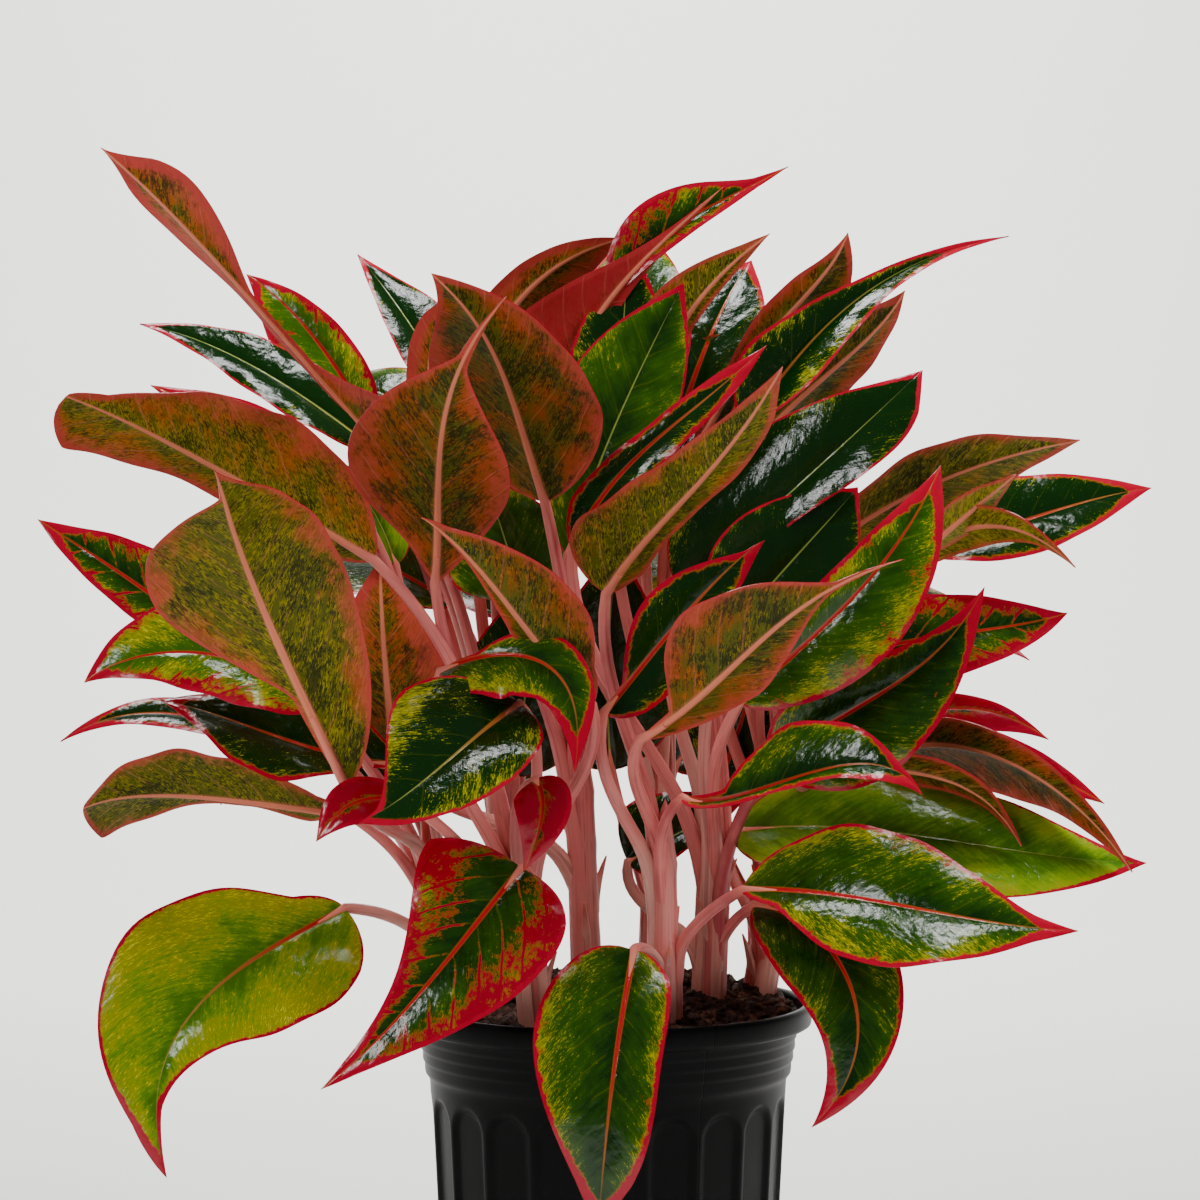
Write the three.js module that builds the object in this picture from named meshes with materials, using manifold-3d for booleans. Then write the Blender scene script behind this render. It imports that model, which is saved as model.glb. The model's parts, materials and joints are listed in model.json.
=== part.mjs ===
// A potted chinese evergreen: eight leafy stems with red-edged leaves, standing in potting mix
// in a fluted nursery pot. Millimetres, +Z up, the front looks along -Y. The origin is the centre
// of the pot's flat underside.
import * as THREE from 'three';
import { mergeVertices } from 'three/addons/utils/BufferGeometryUtils.js';
import Module from 'manifold-3d';

const wasm = await Module();
wasm.setup();

const GAP = 0.3;

const POT = {
  height: 216,
  rimRadius: 111,
  footRadius: 88.5,
  wall: 4.2,
  floor: 4,
  lipDepth: 9,
  lipWall: 4.5,
  bandTopRadius: 102.7,
  bandTop: 198,
  bandFootRadius: 99.2,
  bandFoot: 178,
  bodyTopRadius: 97,
  bodyTop: 170,
  sides: 40,
  panels: 20,
  panelWide: 24,
  panelFoot: 9,
  panelTop: 164,
  panelDeep: 2.4,
  panelFirst: 2.5,
  drains: 4,
  drainRadius: 6,
  drainOut: 74,
};

const SOIL = {
  edge: 205,
  mound: 20,
  moundAt: [14, 30],
  lump: 1.5,
  sides: 26,
  wallSpare: 1,
  topRings: [0.7, 0.36],
  holeSpare: 0.35,
};

const CANE = { foot: 150, radius: 8, topRadius: 6, sides: 6 };

const STALK = {
  lowest: 232,
  radius: 4.4,
  neck: 2.8,
  sides: 4,
  steps: 3,
  intoBlade: 0.07,
  reach: 0.38,
  upPull: 0.8,
  bend: 0.5,
  wayPull: 0.5,
};

const BLADE = {
  thick: 0.8,
  leastShare: 0.12,
  sharesHold: [0.12, 0.88],
  round: 0.6,
  taper: 1.1,
  fold: 18,
  foldAtStalk: 1.15,
  foldAtTip: 0.7,
  curl: 22,
  wave: 0.05,
  waves: 1.6,
  wavesApart: 1.3,
  stations: [0.05, 0.2, 0.4, 0.62, 0.84],
  across: 4,
  slimAcross: 2,
  slimBelow: 66,
};

// With turn 0 a blade's upper side looks this way, up and to the front, as far as its rib lets it.
const FACING = new THREE.Vector3(0, -1, 0.5).normalize();
const CARRY_STEPS = 12;

// A stalk's rings start on this side.
const SEAM = new THREE.Vector3(1, 0.3, 0);

// The view in which the leaves' places were read: the eye, its tilt downwards in degrees, and in
// the picture's pixels its middle and the eye's distance from it.
const VIEW = { eye: [-4.4, -1800, 466], tilt: 1, middle: 600, distance: 3303 };

// Each stem has its foot and top and its leaves. A leaf has its full width, the turn of its upper
// side about the rib in degrees and the share of the cane below the place where its stalk leaves.
// Left and right are how a half differs from the outline that all leaves share, at three places,
// seen on the upper side, tip up. Its rib runs from the stalk to the tip, through even steps:
// - seen: pixels from the picture's left, pixels from its top, millimetres behind the pot's middle;
// - away, for a leaf behind the others: millimetres out from the pot's middle and millimetres up,
//   both in the direction way, in degrees from +X towards +Y.
// - rib, for a leaf among the stalks: the points themselves.
const STEMS = [
  {
    name: 'stem_left', foot: [-78, -8], top: [-92, -14, 290],
    leaves: [
      { wide: 32, turn: 5, from: 0.9, seen: [[330, 470, -20], [240, 425, -20], [150, 385, -25]] },
      { wide: 36, turn: 40, from: 0.8, seen: [[395, 565, -10], [372, 510, -10], [330, 455, -10]] },
      { wide: 110, turn: 160, from: 0.9, taper: 1.35, left: [0.82, 0.93, 1.2],
        right: [0.62, 1.02, 0.42],
        seen: [[346, 787, -120], [260, 602, -150], [230, 520, -190], [214, 470, -240]] },
      { wide: 46, turn: 0, from: 0.8, left: [0.75, 0.75, 0.85],
        seen: [[240, 665, -60], [165, 605, -60], [100, 560, -60], [37, 519, -55]] },
      { wide: 80, turn: 10, from: 0.75, left: [0.75, 0.65, 0.6], right: [0.9, 0.9, 0.9],
        seen: [[320, 705, -85], [235, 660, -95], [150, 655, -100], [84, 683, -100]] },
      { wide: 70, turn: 25, from: 0.7, left: [0.6, 1, 1],
        seen: [[395, 765, -60], [310, 748, -66], [235, 722, -68], [160, 700, -66]] },
      { wide: 30, turn: 30, from: 0.75,
        seen: [[300, 742, -25], [220, 722, -28], [140, 714, -34], [60, 742, -44]] },
      { wide: 60, turn: 115, from: 0.6, taper: 0.7, left: [0.7, 1, 1.1], right: [0.2, 0.2, 1],
        seen: [[350, 815, -50], [250, 802, -60], [158, 795, -70], [83, 808, -90]] },
      { wide: 100, turn: 0, from: 0.4, taper: 0.9, left: [1.05, 0.72, 0.3], right: [0.86, 1.12, 0.95],
        seen: [[345, 908, -50], [250, 962, -85], [172, 1045, -110], [167, 1178, -120]] },
      { wide: 64, turn: 25, from: 0.5, way: 150, away: [[135, 330], [200, 355], [262, 312]] },
    ],
  },
  {
    name: 'stem_front_left', foot: [-32, -42], top: [-46, -62, 290],
    leaves: [
      { wide: 86, turn: 125, from: 0.9, bend: 0.8, taper: 0.5, left: [1.2, 1, 0.6],
        right: [0.5, 0.4, 0.7],
        seen: [[374, 560, -60], [262, 494, -75], [158, 437, -100], [66, 396, -140]] },
      { wide: 90, turn: -170, from: 0.95, fold: 14, round: 0.95, left: [0.88, 0.74, 0.15],
        right: [1, 1, 0.3],
        seen: [[435, 584, -60], [438, 490, -100], [450, 395, -145], [507, 296, -180]] },
      { wide: 85, turn: 0, from: 0.7, left: [0.75, 0.72, 0.75], right: [1, 0.95, 0.55],
        seen: [[520, 704, -115], [470, 742, -150], [415, 788, -175], [359, 823, -190]] },
      { wide: 55, turn: -5, from: 0.8, left: [0.25, 0.65, 0.85],
        seen: [[440, 672, -105], [505, 655, -120], [562, 680, -130], [574, 774, -140]] },
      { wide: 78, turn: 130, from: 0.9, left: [0.75, 0.9, 0.7], right: [0.3, 0.2, 0.12],
        seen: [[592, 705, -100], [535, 640, -120], [480, 570, -140], [421, 517, -155]] },
      { wide: 28, turn: 5, from: 0.5,
        seen: [[405, 800, -122], [365, 800, -136], [338, 814, -142], [316, 842, -145]] },
      { wide: 82, turn: 0, from: 0.5, round: 0.5, left: [1.1, 0.9, 0.65], right: [1, 0.52, 0.35],
        seen: [[522, 868, -100], [462, 942, -130], [395, 1022, -145], [320, 1090, -150]] },
      { wide: 30, turn: -5, from: 0.6, seen: [[535, 780, -112], [542, 815, -120], [523, 872, -120]] },
    ],
  },
  {
    name: 'stem_middle', foot: [-8, 10], top: [-14, 4, 330],
    leaves: [
      { wide: 92, turn: 125, from: 0.95,
        seen: [[545, 502, -40], [515, 408, -75], [484, 335, -110], [431, 273, -130]] },
      { wide: 75, turn: 160, from: 0.8, right: [0.5, 0.42, 0.6],
        seen: [[452, 480, -30], [430, 385, -55], [447, 297, -70]] },
      { wide: 70, turn: 170, from: 0.7, seen: [[395, 760, -40], [385, 660, -45], [380, 558, -40]] },
      { wide: 70, turn: -10, from: 0.8, seen: [[520, 600, 12], [505, 540, 14], [480, 470, 16]] },
    ],
  },
  {
    name: 'stem_front_right', foot: [30, -48], top: [30, -56, 296],
    leaves: [
      { wide: 76, turn: -125, from: 0.95, left: [0.3, 0.32, 0.7], right: [0.95, 0.72, 0.7],
        seen: [[606, 594, -70], [655, 530, -100], [715, 464, -130], [783, 366, -150]] },
      { wide: 84, turn: -130, from: 0.95, left: [0.5, 0.5, 0.2], right: [0.57, 0.95, 0.4],
        seen: [[640, 739, -110], [718, 680, -145], [795, 612, -170], [904, 559, -170]] },
      { wide: 48, turn: 20, from: 0.8, left: [0.5, 0.95, 0.65], right: [0.9, 0.85, 0.85],
        seen: [[603, 714, -85], [655, 650, -82], [712, 585, -76], [765, 540, -68]] },
      { wide: 85, turn: -10, from: 0.4, left: [1, 0.95, 0.75], right: [0.7, 1, 0.9],
        seen: [[742, 890, -75], [855, 898, -115], [965, 918, -140], [1079, 931, -150]] },
      { wide: 90, turn: -20, from: 0.6, fold: 35, left: [0.3, 0.72, 0.55], right: [0.2, 0.25, 0.5],
        seen: [[682, 798, -95], [760, 790, -125], [850, 765, -150], [923, 796, -165]] },
      { wide: 80, turn: -5, from: 0.3, round: 0.5, taper: 0.9, left: [0.62, 0.62, 0.85],
        right: [1.08, 1.08, 1],
        seen: [[634, 950, -95], [619, 1035, -135], [608, 1120, -150], [598, 1228, -150]] },
    ],
  },
  {
    name: 'stem_right', foot: [52, -6], top: [58, -10, 300],
    leaves: [
      { wide: 60, turn: -5, from: 1, fold: 42, left: [0.8, 0.38, 0.25], right: [0.9, 0.62, 0.4],
        seen: [[745, 428, 0], [818, 335, 8], [900, 272, 20], [1010, 236, 42]] },
      { wide: 65, turn: -120, from: 0.9, left: [0.7, 0.7, 0.8],
        seen: [[730, 475, 30], [800, 398, 30], [860, 345, 30], [905, 290, 35]] },
      { wide: 85, turn: -5, from: 0.9, right: [0.35, 0.45, 1],
        seen: [[680, 590, -30], [760, 520, -34], [845, 443, -42], [923, 370, -35]] },
      { wide: 60, turn: -5, from: 0.8, left: [0.45, 0.35, 0.5], right: [0.6, 0.5, 0.6],
        seen: [[572, 548, -40], [625, 470, -50], [690, 412, -52], [767, 345, -45]] },
      { wide: 80, turn: 10, from: 0.85, left: [0.45, 0.48, 0.6], right: [0.75, 0.9, 1.03],
        seen: [[740, 702, -95], [815, 635, -110], [885, 560, -115], [941, 465, -95]] },
      { wide: 75, turn: 10, from: 0.7,
        seen: [[725, 640, -50], [775, 580, -45], [820, 530, -40], [858, 487, -30]] },
      { wide: 80, turn: 10, from: 0.6, left: [0.6, 0.5, 0.45], right: [1, 0.95, 0.8],
        seen: [[770, 765, -60], [850, 712, -80], [925, 662, -90], [985, 586, -85]] },
      { wide: 62, turn: 0, from: 0.4,
        seen: [[755, 905, -30], [826, 945, -60], [858, 1030, -75], [811, 1128, -80]] },
      { wide: 70, turn: 5, from: 0.5, left: [0.8, 0.8, 0.8], right: [0.4, 0.35, 0.4],
        seen: [[628, 862, 10], [675, 835, 5], [750, 795, 0]] },
    ],
  },
  {
    name: 'stem_far_right', foot: [73, 26], top: [96, 30, 290],
    leaves: [
      { wide: 75, turn: -110, from: 0.95, right: [0.45, 0.72, 0.85],
        seen: [[800, 570, 10], [885, 508, 5], [980, 465, -8], [1081, 440, -25]] },
      { wide: 62, turn: -10, from: 0.9, left: [1.2, 1.05, 1], right: [0.7, 0.85, 0.95],
        seen: [[925, 552, 40], [1000, 529, 45], [1075, 505, 55], [1152, 488, 65]] },
      { wide: 28, turn: -115, from: 0.8,
        seen: [[890, 572, -5], [950, 534, -20], [1012, 528, -45], [1076, 568, -70]] },
      { wide: 26, turn: -120, from: 0.85, seen: [[925, 550, -30], [972, 510, -35], [1016, 474, -45]] },
      { wide: 55, turn: -5, from: 0.7,
        seen: [[840, 660, 10], [920, 640, 20], [1000, 628, 30], [1068, 613, 40]] },
      { wide: 45, turn: -15, from: 0.6, left: [0.6, 0.5, 0.5],
        seen: [[860, 735, 20], [930, 712, 25], [990, 712, 30], [1049, 740, 30]] },
      { wide: 65, turn: -105, from: 0.5, right: [0.6, 0.55, 0.55],
        seen: [[860, 770, -20], [950, 745, -45], [1050, 785, -75], [1133, 873, -90]] },
      { wide: 26, turn: -5, from: 0.4,
        seen: [[930, 742, 35], [990, 752, 40], [1050, 775, 40], [1105, 804, 40]] },
      { wide: 34, turn: -95, from: 0.5,
        seen: [[820, 765, -60], [900, 770, -70], [970, 790, -75], [1022, 847, -80]] },
      { wide: 85, turn: -20, from: 0.3, right: [1.2, 1.25, 1.3],
        seen: [[735, 832, -20], [870, 830, -50], [1010, 850, -70], [1147, 863, -80]] },
      { wide: 74, turn: -25, from: 0.5, way: 35, away: [[110, 330], [190, 350], [255, 290]] },
      { wide: 68, turn: -30, from: 0.8, way: 22, away: [[105, 420], [180, 430], [262, 398]] },
      { wide: 78, turn: -20, from: 0.8, way: 52, away: [[100, 420], [180, 455], [258, 420]] },
      { wide: 70, turn: -20, from: 0.9, way: 40, away: [[95, 480], [155, 528], [218, 556]] },
      { wide: 61, turn: -5, from: 0.5, rib: [[60, 58, 325], [78, 56, 375], [88, 50, 425]] },
    ],
  },
  {
    name: 'stem_back_left', foot: [-44, 56], top: [-58, 66, 310],
    leaves: [
      { wide: 60, turn: 105, from: 0.9, fold: 28, twist: 40, taper: 1.5, left: [0.3, 0.12, 2],
        right: [0.65, 0.42, 1.35],
        seen: [[395, 462, 0], [297, 352, -20], [199, 242, -50], [100, 147, -60]] },
      { wide: 54, turn: -5, from: 0.8, right: [0.62, 0.6, 0.6],
        seen: [[372, 430, 50], [312, 335, 60], [246, 274, 75]] },
      { wide: 48, turn: 20, from: 0.7, left: [0.85, 0.8, 0.75],
        seen: [[375, 450, 30], [300, 395, 35], [220, 350, 40], [139, 324, 45]] },
      { wide: 60, turn: 20, from: 0.95, left: [0.6, 0.6, 0.65],
        seen: [[470, 430, 30], [420, 340, 55], [357, 254, 85]] },
      { wide: 60, turn: -125, from: 0.9, right: [0.6, 0.5, 0.5],
        seen: [[490, 345, 72], [545, 275, 74], [625, 238, 74]] },
      { wide: 78, turn: 12, from: 0.5, way: 112, away: [[110, 330], [185, 350], [250, 300]] },
      { wide: 76, turn: 15, from: 0.8, way: 118, away: [[95, 420], [180, 455], [255, 430]] },
      { wide: 74, turn: 25, from: 0.8, way: 150, away: [[100, 430], [185, 460], [262, 440]] },
      { wide: 76, turn: 10, from: 0.95, way: 112, away: [[75, 510], [150, 560], [215, 580]] },
      { wide: 72, turn: 20, from: 0.95, way: 142, away: [[80, 500], [150, 545], [215, 560]] },
      { wide: 66, turn: 10, from: 1, way: 130, away: [[74, 520], [105, 575], [145, 605]] },
      { wide: 76, turn: 5, from: 0.5, rib: [[-52, 46, 335], [-44, 40, 395], [-34, 36, 452]] },
    ],
  },
  {
    name: 'stem_back_right', foot: [24, 62], top: [30, 74, 320],
    leaves: [
      { wide: 56, turn: 0, from: 1, fold: 30, left: [0.15, 0.85, 0.8], right: [0.2, 0.45, 0.45],
        seen: [[575, 390, 62], [625, 272, 55], [700, 212, 55], [789, 166, 60]] },
      { wide: 56, turn: -145, from: 1, left: [0.35, 0.3, 0.3], right: [1.5, 0.75, 0.3],
        seen: [[568, 405, 45], [590, 330, 50], [642, 262, 50], [724, 186, 52]] },
      { wide: 75, turn: 10, from: 0.9, left: [0.8, 1, 1.1], right: [0.7, 0.85, 1],
        seen: [[568, 555, -5], [604, 452, 8], [644, 362, 22], [684, 282, 30]] },
      { wide: 42, turn: -150, from: 0.8, left: [0.4, 0.35, 0.5], right: [1, 1.15, 1],
        seen: [[640, 430, 48], [686, 318, 45], [771, 233, 50]] },
      { wide: 50, turn: -170, from: 0.9, seen: [[700, 430, 80], [715, 370, 82], [737, 336, 85]] },
      { wide: 78, turn: -135, from: 0.8, right: [0.25, 0.38, 0.4],
        seen: [[700, 445, 45], [758, 350, 40], [812, 288, 35], [848, 232, 30]] },
      { wide: 76, turn: -10, from: 0.5, way: 68, away: [[100, 335], [180, 350], [250, 300]] },
      { wide: 80, turn: 0, from: 0.8, way: 85, away: [[95, 430], [180, 470], [262, 445]] },
      { wide: 78, turn: -10, from: 0.95, way: 72, away: [[75, 500], [150, 560], [220, 570]] },
      { wide: 70, turn: 0, from: 1, way: 80, away: [[45, 530], [85, 600], [130, 650]] },
      { wide: 66, turn: 0, from: 1, way: 80, away: [[20, 470], [40, 560], [75, 640]] },
      { wide: 66, turn: -10, from: 1, way: 56, away: [[70, 530], [110, 590], [150, 630]] },
      { wide: 80, turn: 5, from: 0.5, rib: [[2, 52, 338], [0, 46, 400], [6, 40, 466]] },
    ],
  },
];

const LOOKS = {
  pot: { color: 0x1d1e20, roughness: 0.42, metalness: 0 },
  soil: { color: 0x3a2419, roughness: 0.95, metalness: 0 },
  leaves: { color: 0x3f5a1e, roughness: 0.35, metalness: 0 },
};

const radians = THREE.MathUtils.degToRad;
const at = (x, y, z) => new THREE.Vector3(x, y, z);

// A closed skin over rings with equal numbers of points, drawn to a point at both ends. A band
// named in otherWay is split along its other diagonal.
function skin(start, rings, end, otherWay = () => false) {
  const points = [start, ...rings.flat(), end];
  const last = points.length - 1;
  const count = rings[0].length;
  const faces = [];
  const ringPoint = (ring, i) => 1 + ring * count + (i % count);
  for (let i = 0; i < count; i += 1) {
    faces.push([0, ringPoint(0, i + 1), ringPoint(0, i)]);
    faces.push([last, ringPoint(rings.length - 1, i), ringPoint(rings.length - 1, i + 1)]);
    for (let ring = 0; ring + 1 < rings.length; ring += 1) {
      const a = ringPoint(ring, i);
      const b = ringPoint(ring, i + 1);
      const c = ringPoint(ring + 1, i + 1);
      const d = ringPoint(ring + 1, i);
      if (otherWay(i)) faces.push([a, b, d], [b, c, d]);
      else faces.push([a, b, c], [a, c, d]);
    }
  }
  const geometry = new THREE.BufferGeometry().setFromPoints(points);
  geometry.setIndex(faces.flat());
  return geometry;
}

function solid(geometry) {
  const bare = new THREE.BufferGeometry();
  bare.setAttribute('position', geometry.getAttribute('position'));
  if (geometry.index) bare.setIndex(geometry.index);
  const merged = mergeVertices(bare, 1e-4);
  const make = (triVerts) =>
    new wasm.Manifold(
      new wasm.Mesh({ numProp: 3, vertProperties: merged.attributes.position.array, triVerts }),
    );
  const faces = new Uint32Array(merged.index.array);
  const made = make(faces);
  return made.volume() > 0 ? made : make(faces.map((_, i) => faces[i + [0, 1, -1][i % 3]]));
}

function node(name, body, look) {
  const mesh = body.getMesh();
  const geometry = new THREE.BufferGeometry();
  geometry.setAttribute('position', new THREE.BufferAttribute(mesh.vertProperties, 3));
  geometry.setIndex(new THREE.BufferAttribute(mesh.triVerts, 1));
  geometry.computeVertexNormals();
  const made = new THREE.Mesh(geometry, new THREE.MeshStandardMaterial(look));
  made.name = name;
  return made;
}

// ---- pot ----

// The pot's outer radius at a height on its tapered body.
function bodyRadius(z) {
  return THREE.MathUtils.lerp(POT.footRadius, POT.bodyTopRadius, z / POT.bodyTop);
}

// The inside of the pot's wall from its floor up: radius and height.
function innerProfile() {
  const { height, rimRadius, wall, floor, lipDepth, lipWall } = POT;
  return [
    [bodyRadius(floor) - wall, floor],
    [POT.bandFootRadius - wall - 1, POT.bandFoot - 2],
    [POT.bandTopRadius - wall, POT.bandTop - 2],
    [rimRadius - lipWall - 1, height - lipDepth],
    [rimRadius - lipWall, height],
  ];
}

function potShell() {
  const { height, rimRadius, floor, lipDepth } = POT;
  const profile = [
    [0, 0],
    [POT.footRadius - 2, 0],
    [POT.footRadius, 2],
    [POT.bodyTopRadius, POT.bodyTop],
    [POT.bandFootRadius, POT.bandFoot],
    [POT.bandTopRadius, POT.bandTop],
    [rimRadius, height - lipDepth],
    [rimRadius, height],
    ...innerProfile().reverse(),
    [0, floor],
  ].map(([radius, z]) => new THREE.Vector2(radius, z));
  const start = radians(90 - POT.panelFirst);
  return solid(new THREE.LatheGeometry(profile, POT.sides, start).rotateX(Math.PI / 2));
}

// An arched panel as wide as one flute, standing in the pot's slanted wall.
function panelCutter(angle) {
  const half = POT.panelWide / 2;
  const shape = new THREE.Shape();
  shape.moveTo(-half, POT.panelFoot);
  shape.lineTo(half, POT.panelFoot);
  shape.lineTo(half, POT.panelTop - half);
  shape.absarc(0, POT.panelTop - half, half, 0, Math.PI, false);
  const block = new THREE.ExtrudeGeometry(shape, { depth: 9, bevelEnabled: false, curveSegments: 2 });
  const out = at(Math.sin(angle), -Math.cos(angle), 0);
  const along = at(Math.cos(angle), Math.sin(angle), 0);
  const slant = out.clone().multiplyScalar(bodyRadius(1) - bodyRadius(0));
  const up = at(0, 0, 1).add(slant).normalize();
  const facing = new THREE.Vector3().crossVectors(along, up);
  const place = new THREE.Matrix4().makeBasis(along, up, facing);
  place.setPosition(out.multiplyScalar(POT.footRadius - POT.panelDeep));
  return solid(block.applyMatrix4(place));
}

function drainCutter(turn) {
  const hole = new THREE.CylinderGeometry(POT.drainRadius, POT.drainRadius, POT.floor * 4, 8);
  hole.rotateX(Math.PI / 2);
  hole.translate(POT.drainOut * Math.cos(turn), POT.drainOut * Math.sin(turn), 0);
  return solid(hole);
}

function pot() {
  const turn = (i, count) => (i / count) * 2 * Math.PI;
  const panels = Array.from({ length: POT.panels }, (_, i) =>
    panelCutter(radians(POT.panelFirst) + turn(i, POT.panels)),
  );
  const drains = Array.from({ length: POT.drains }, (_, i) => drainCutter(turn(i, POT.drains)));
  const body = wasm.Manifold.difference([potShell(), ...panels, ...drains]);
  return node('pot', body, LOOKS.pot);
}

// ---- potting mix ----

// The height of the mix: it mounds behind the middle and falls to the pot's wall.
function soilHeight(x, y) {
  const [midX, midY] = SOIL.moundAt;
  const away = Math.hypot(x - midX, y - midY) / POT.rimRadius;
  const lumps = Math.sin(x * 0.21 + 1) * Math.cos(y * 0.17) + Math.sin(x * 0.07 - y * 0.11);
  return SOIL.edge + SOIL.mound * Math.max(1 - away * away, 0) + SOIL.lump * lumps;
}

function soilBody() {
  const [foot, shoulder, bandTop, lip] = innerProfile();
  const side = (radius, height) =>
    Array.from({ length: SOIL.sides }, (_, i) => {
      const turn = (i / SOIL.sides) * 2 * Math.PI;
      const x = radius * Math.cos(turn);
      const y = radius * Math.sin(turn);
      return at(x, y, height ?? soilHeight(x, y));
    });
  const base = foot[1] + GAP;
  const lowest = SOIL.edge - 2 * SOIL.lump;
  const edgeShare = (lowest - bandTop[1]) / (lip[1] - bandTop[1]);
  const edge = THREE.MathUtils.lerp(bandTop[0], lip[0], edgeShare) - SOIL.wallSpare;
  const rings = [
    side(foot[0] - SOIL.wallSpare, base),
    side(shoulder[0] - SOIL.wallSpare, shoulder[1]),
    side(bandTop[0] - SOIL.wallSpare, bandTop[1]),
    side(edge),
    ...SOIL.topRings.map((share) => side(edge * share)),
  ];
  return solid(skin(at(0, 0, base), rings, at(0, 0, soilHeight(0, 0))));
}

function soil() {
  const holes = STEMS.map((stem) => cane(stem, SOIL.holeSpare));
  return node('potting_mix', wasm.Manifold.difference([soilBody(), ...holes]), LOOKS.soil);
}

// ---- leafy stems ----

// The ring of points round a place, square to a direction; lead keeps rings in step.
function ringRound(place, direction, lead, radius, sides) {
  const first = lead.clone().addScaledVector(direction, -lead.dot(direction)).normalize();
  const second = new THREE.Vector3().crossVectors(direction, first);
  return Array.from({ length: sides }, (_, i) => {
    const turn = (i / sides) * 2 * Math.PI;
    const out = first.clone().multiplyScalar(Math.cos(turn)).addScaledVector(second, Math.sin(turn));
    return place.clone().addScaledVector(out, radius);
  });
}

function caneLine(stem) {
  return new THREE.LineCurve3(at(...stem.foot, CANE.foot), at(...stem.top));
}

// A cane; spare makes the plain hole in the mix that it stands in.
function cane(stem, spare = 0) {
  const line = caneLine(stem);
  const up = line.getTangent(0);
  const foot = line.getPoint(0).addScaledVector(up, -spare);
  const ring = (place, radius) => ringRound(place, up, at(1, 0, 0), radius + spare, CANE.sides);
  const tip = line.getPoint(1).addScaledVector(up, CANE.topRadius);
  const rings = [ring(foot, CANE.radius), ring(line.getPoint(1), CANE.topRadius)];
  return solid(skin(foot, rings, tip));
}

// A place seen in the view: it lies on its line of sight, so far behind the pot's middle.
function seenPlace([across, down, behind]) {
  const eye = at(...VIEW.eye);
  const tilt = radians(VIEW.tilt);
  const sight = at(0, Math.cos(tilt), -Math.sin(tilt));
  sight.addScaledVector(at(1, 0, 0), (across - VIEW.middle) / VIEW.distance);
  sight.addScaledVector(at(0, Math.sin(tilt), Math.cos(tilt)), (VIEW.middle - down) / VIEW.distance);
  return eye.addScaledVector(sight, (behind - VIEW.eye[1]) / sight.y);
}

// The points that a leaf's rib runs through.
function ribOf({ rib, seen, way, away }) {
  if (rib) return rib.map((place) => at(...place));
  if (seen) return seen.map(seenPlace);
  const turn = radians(way);
  return away.map(([out, up]) => at(out * Math.cos(turn), out * Math.sin(turn), up));
}

// The point at s along a rib that runs through its points at even steps.
function ribPoint(rib, s) {
  const steps = rib.length - 1;
  return rib.reduce((sum, point, i) => {
    const share = rib.reduce(
      (product, _, j) => (i === j ? product : (product * (s * steps - j)) / (i - j)),
      1,
    );
    return sum.addScaledVector(point, share);
  }, at(0, 0, 0));
}

function ribDirection(rib, s) {
  const before = ribPoint(rib, Math.max(s - 1e-3, 0));
  return ribPoint(rib, Math.min(s + 1e-3, 1)).sub(before).normalize();
}

const squareTo = (vector, direction) =>
  vector.clone().addScaledVector(direction, -vector.dot(direction)).normalize();

// The way the upper side looks at each station: set at mid-leaf, carried along the rib, twisted.
function upperSides(leaf, stations) {
  const { rib, turn, twist = 0 } = leaf;
  const middle = ribDirection(rib, 0.5);
  const start = squareTo(FACING, middle).applyAxisAngle(middle, radians(turn));
  const carried = (s) => {
    let look = start;
    for (let i = 1; i <= CARRY_STEPS; i += 1) {
      look = squareTo(look, ribDirection(rib, 0.5 + ((s - 0.5) * i) / CARRY_STEPS));
    }
    return look;
  };
  return stations.map((s) =>
    carried(s).applyAxisAngle(ribDirection(rib, s), radians(twist) * (s - 0.5)),
  );
}

// The width of one half of a blade at s: the outline that all leaves share, times the leaf's own
// shares for that side at a quarter, half and three quarters of its rib.
function halfWidth(leaf, s, side) {
  const { round = BLADE.round, taper = BLADE.taper } = leaf;
  const outline = (x) => x ** round * (1 - x) ** taper;
  const [near, middle, far] = (side > 0 ? leaf.right : leaf.left) ?? [1, 1, 1];
  const x = 4 * THREE.MathUtils.clamp(s, ...BLADE.sharesHold) - 2;
  const share = (near * x * (x - 1)) / 2 + middle * (1 - x * x) + (far * x * (x + 1)) / 2;
  const widest = outline(round / (round + taper));
  return ((leaf.wide / 2) * Math.max(share, BLADE.leastShare) * outline(s)) / widest;
}

// Across the blade each half leaves the rib at the fold's angle and curls back towards its edge.
function acrossPoint(leaf, s, share) {
  const side = Math.sign(share);
  const out = Math.abs(share);
  const foldShare = THREE.MathUtils.lerp(BLADE.foldAtStalk, BLADE.foldAtTip, s);
  const start = radians(leaf.fold ?? BLADE.fold) * foldShare;
  const curl = radians(BLADE.curl);
  const slope = start - curl * out;
  const ripple = Math.sin(2 * Math.PI * BLADE.waves * s + (side > 0 ? BLADE.wavesApart : 0));
  return {
    out: (side * (Math.sin(start) - Math.sin(slope))) / curl,
    rise: (Math.cos(slope) - Math.cos(start)) / curl + BLADE.wave * out * out * ripple,
    slope: side * slope,
  };
}

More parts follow.
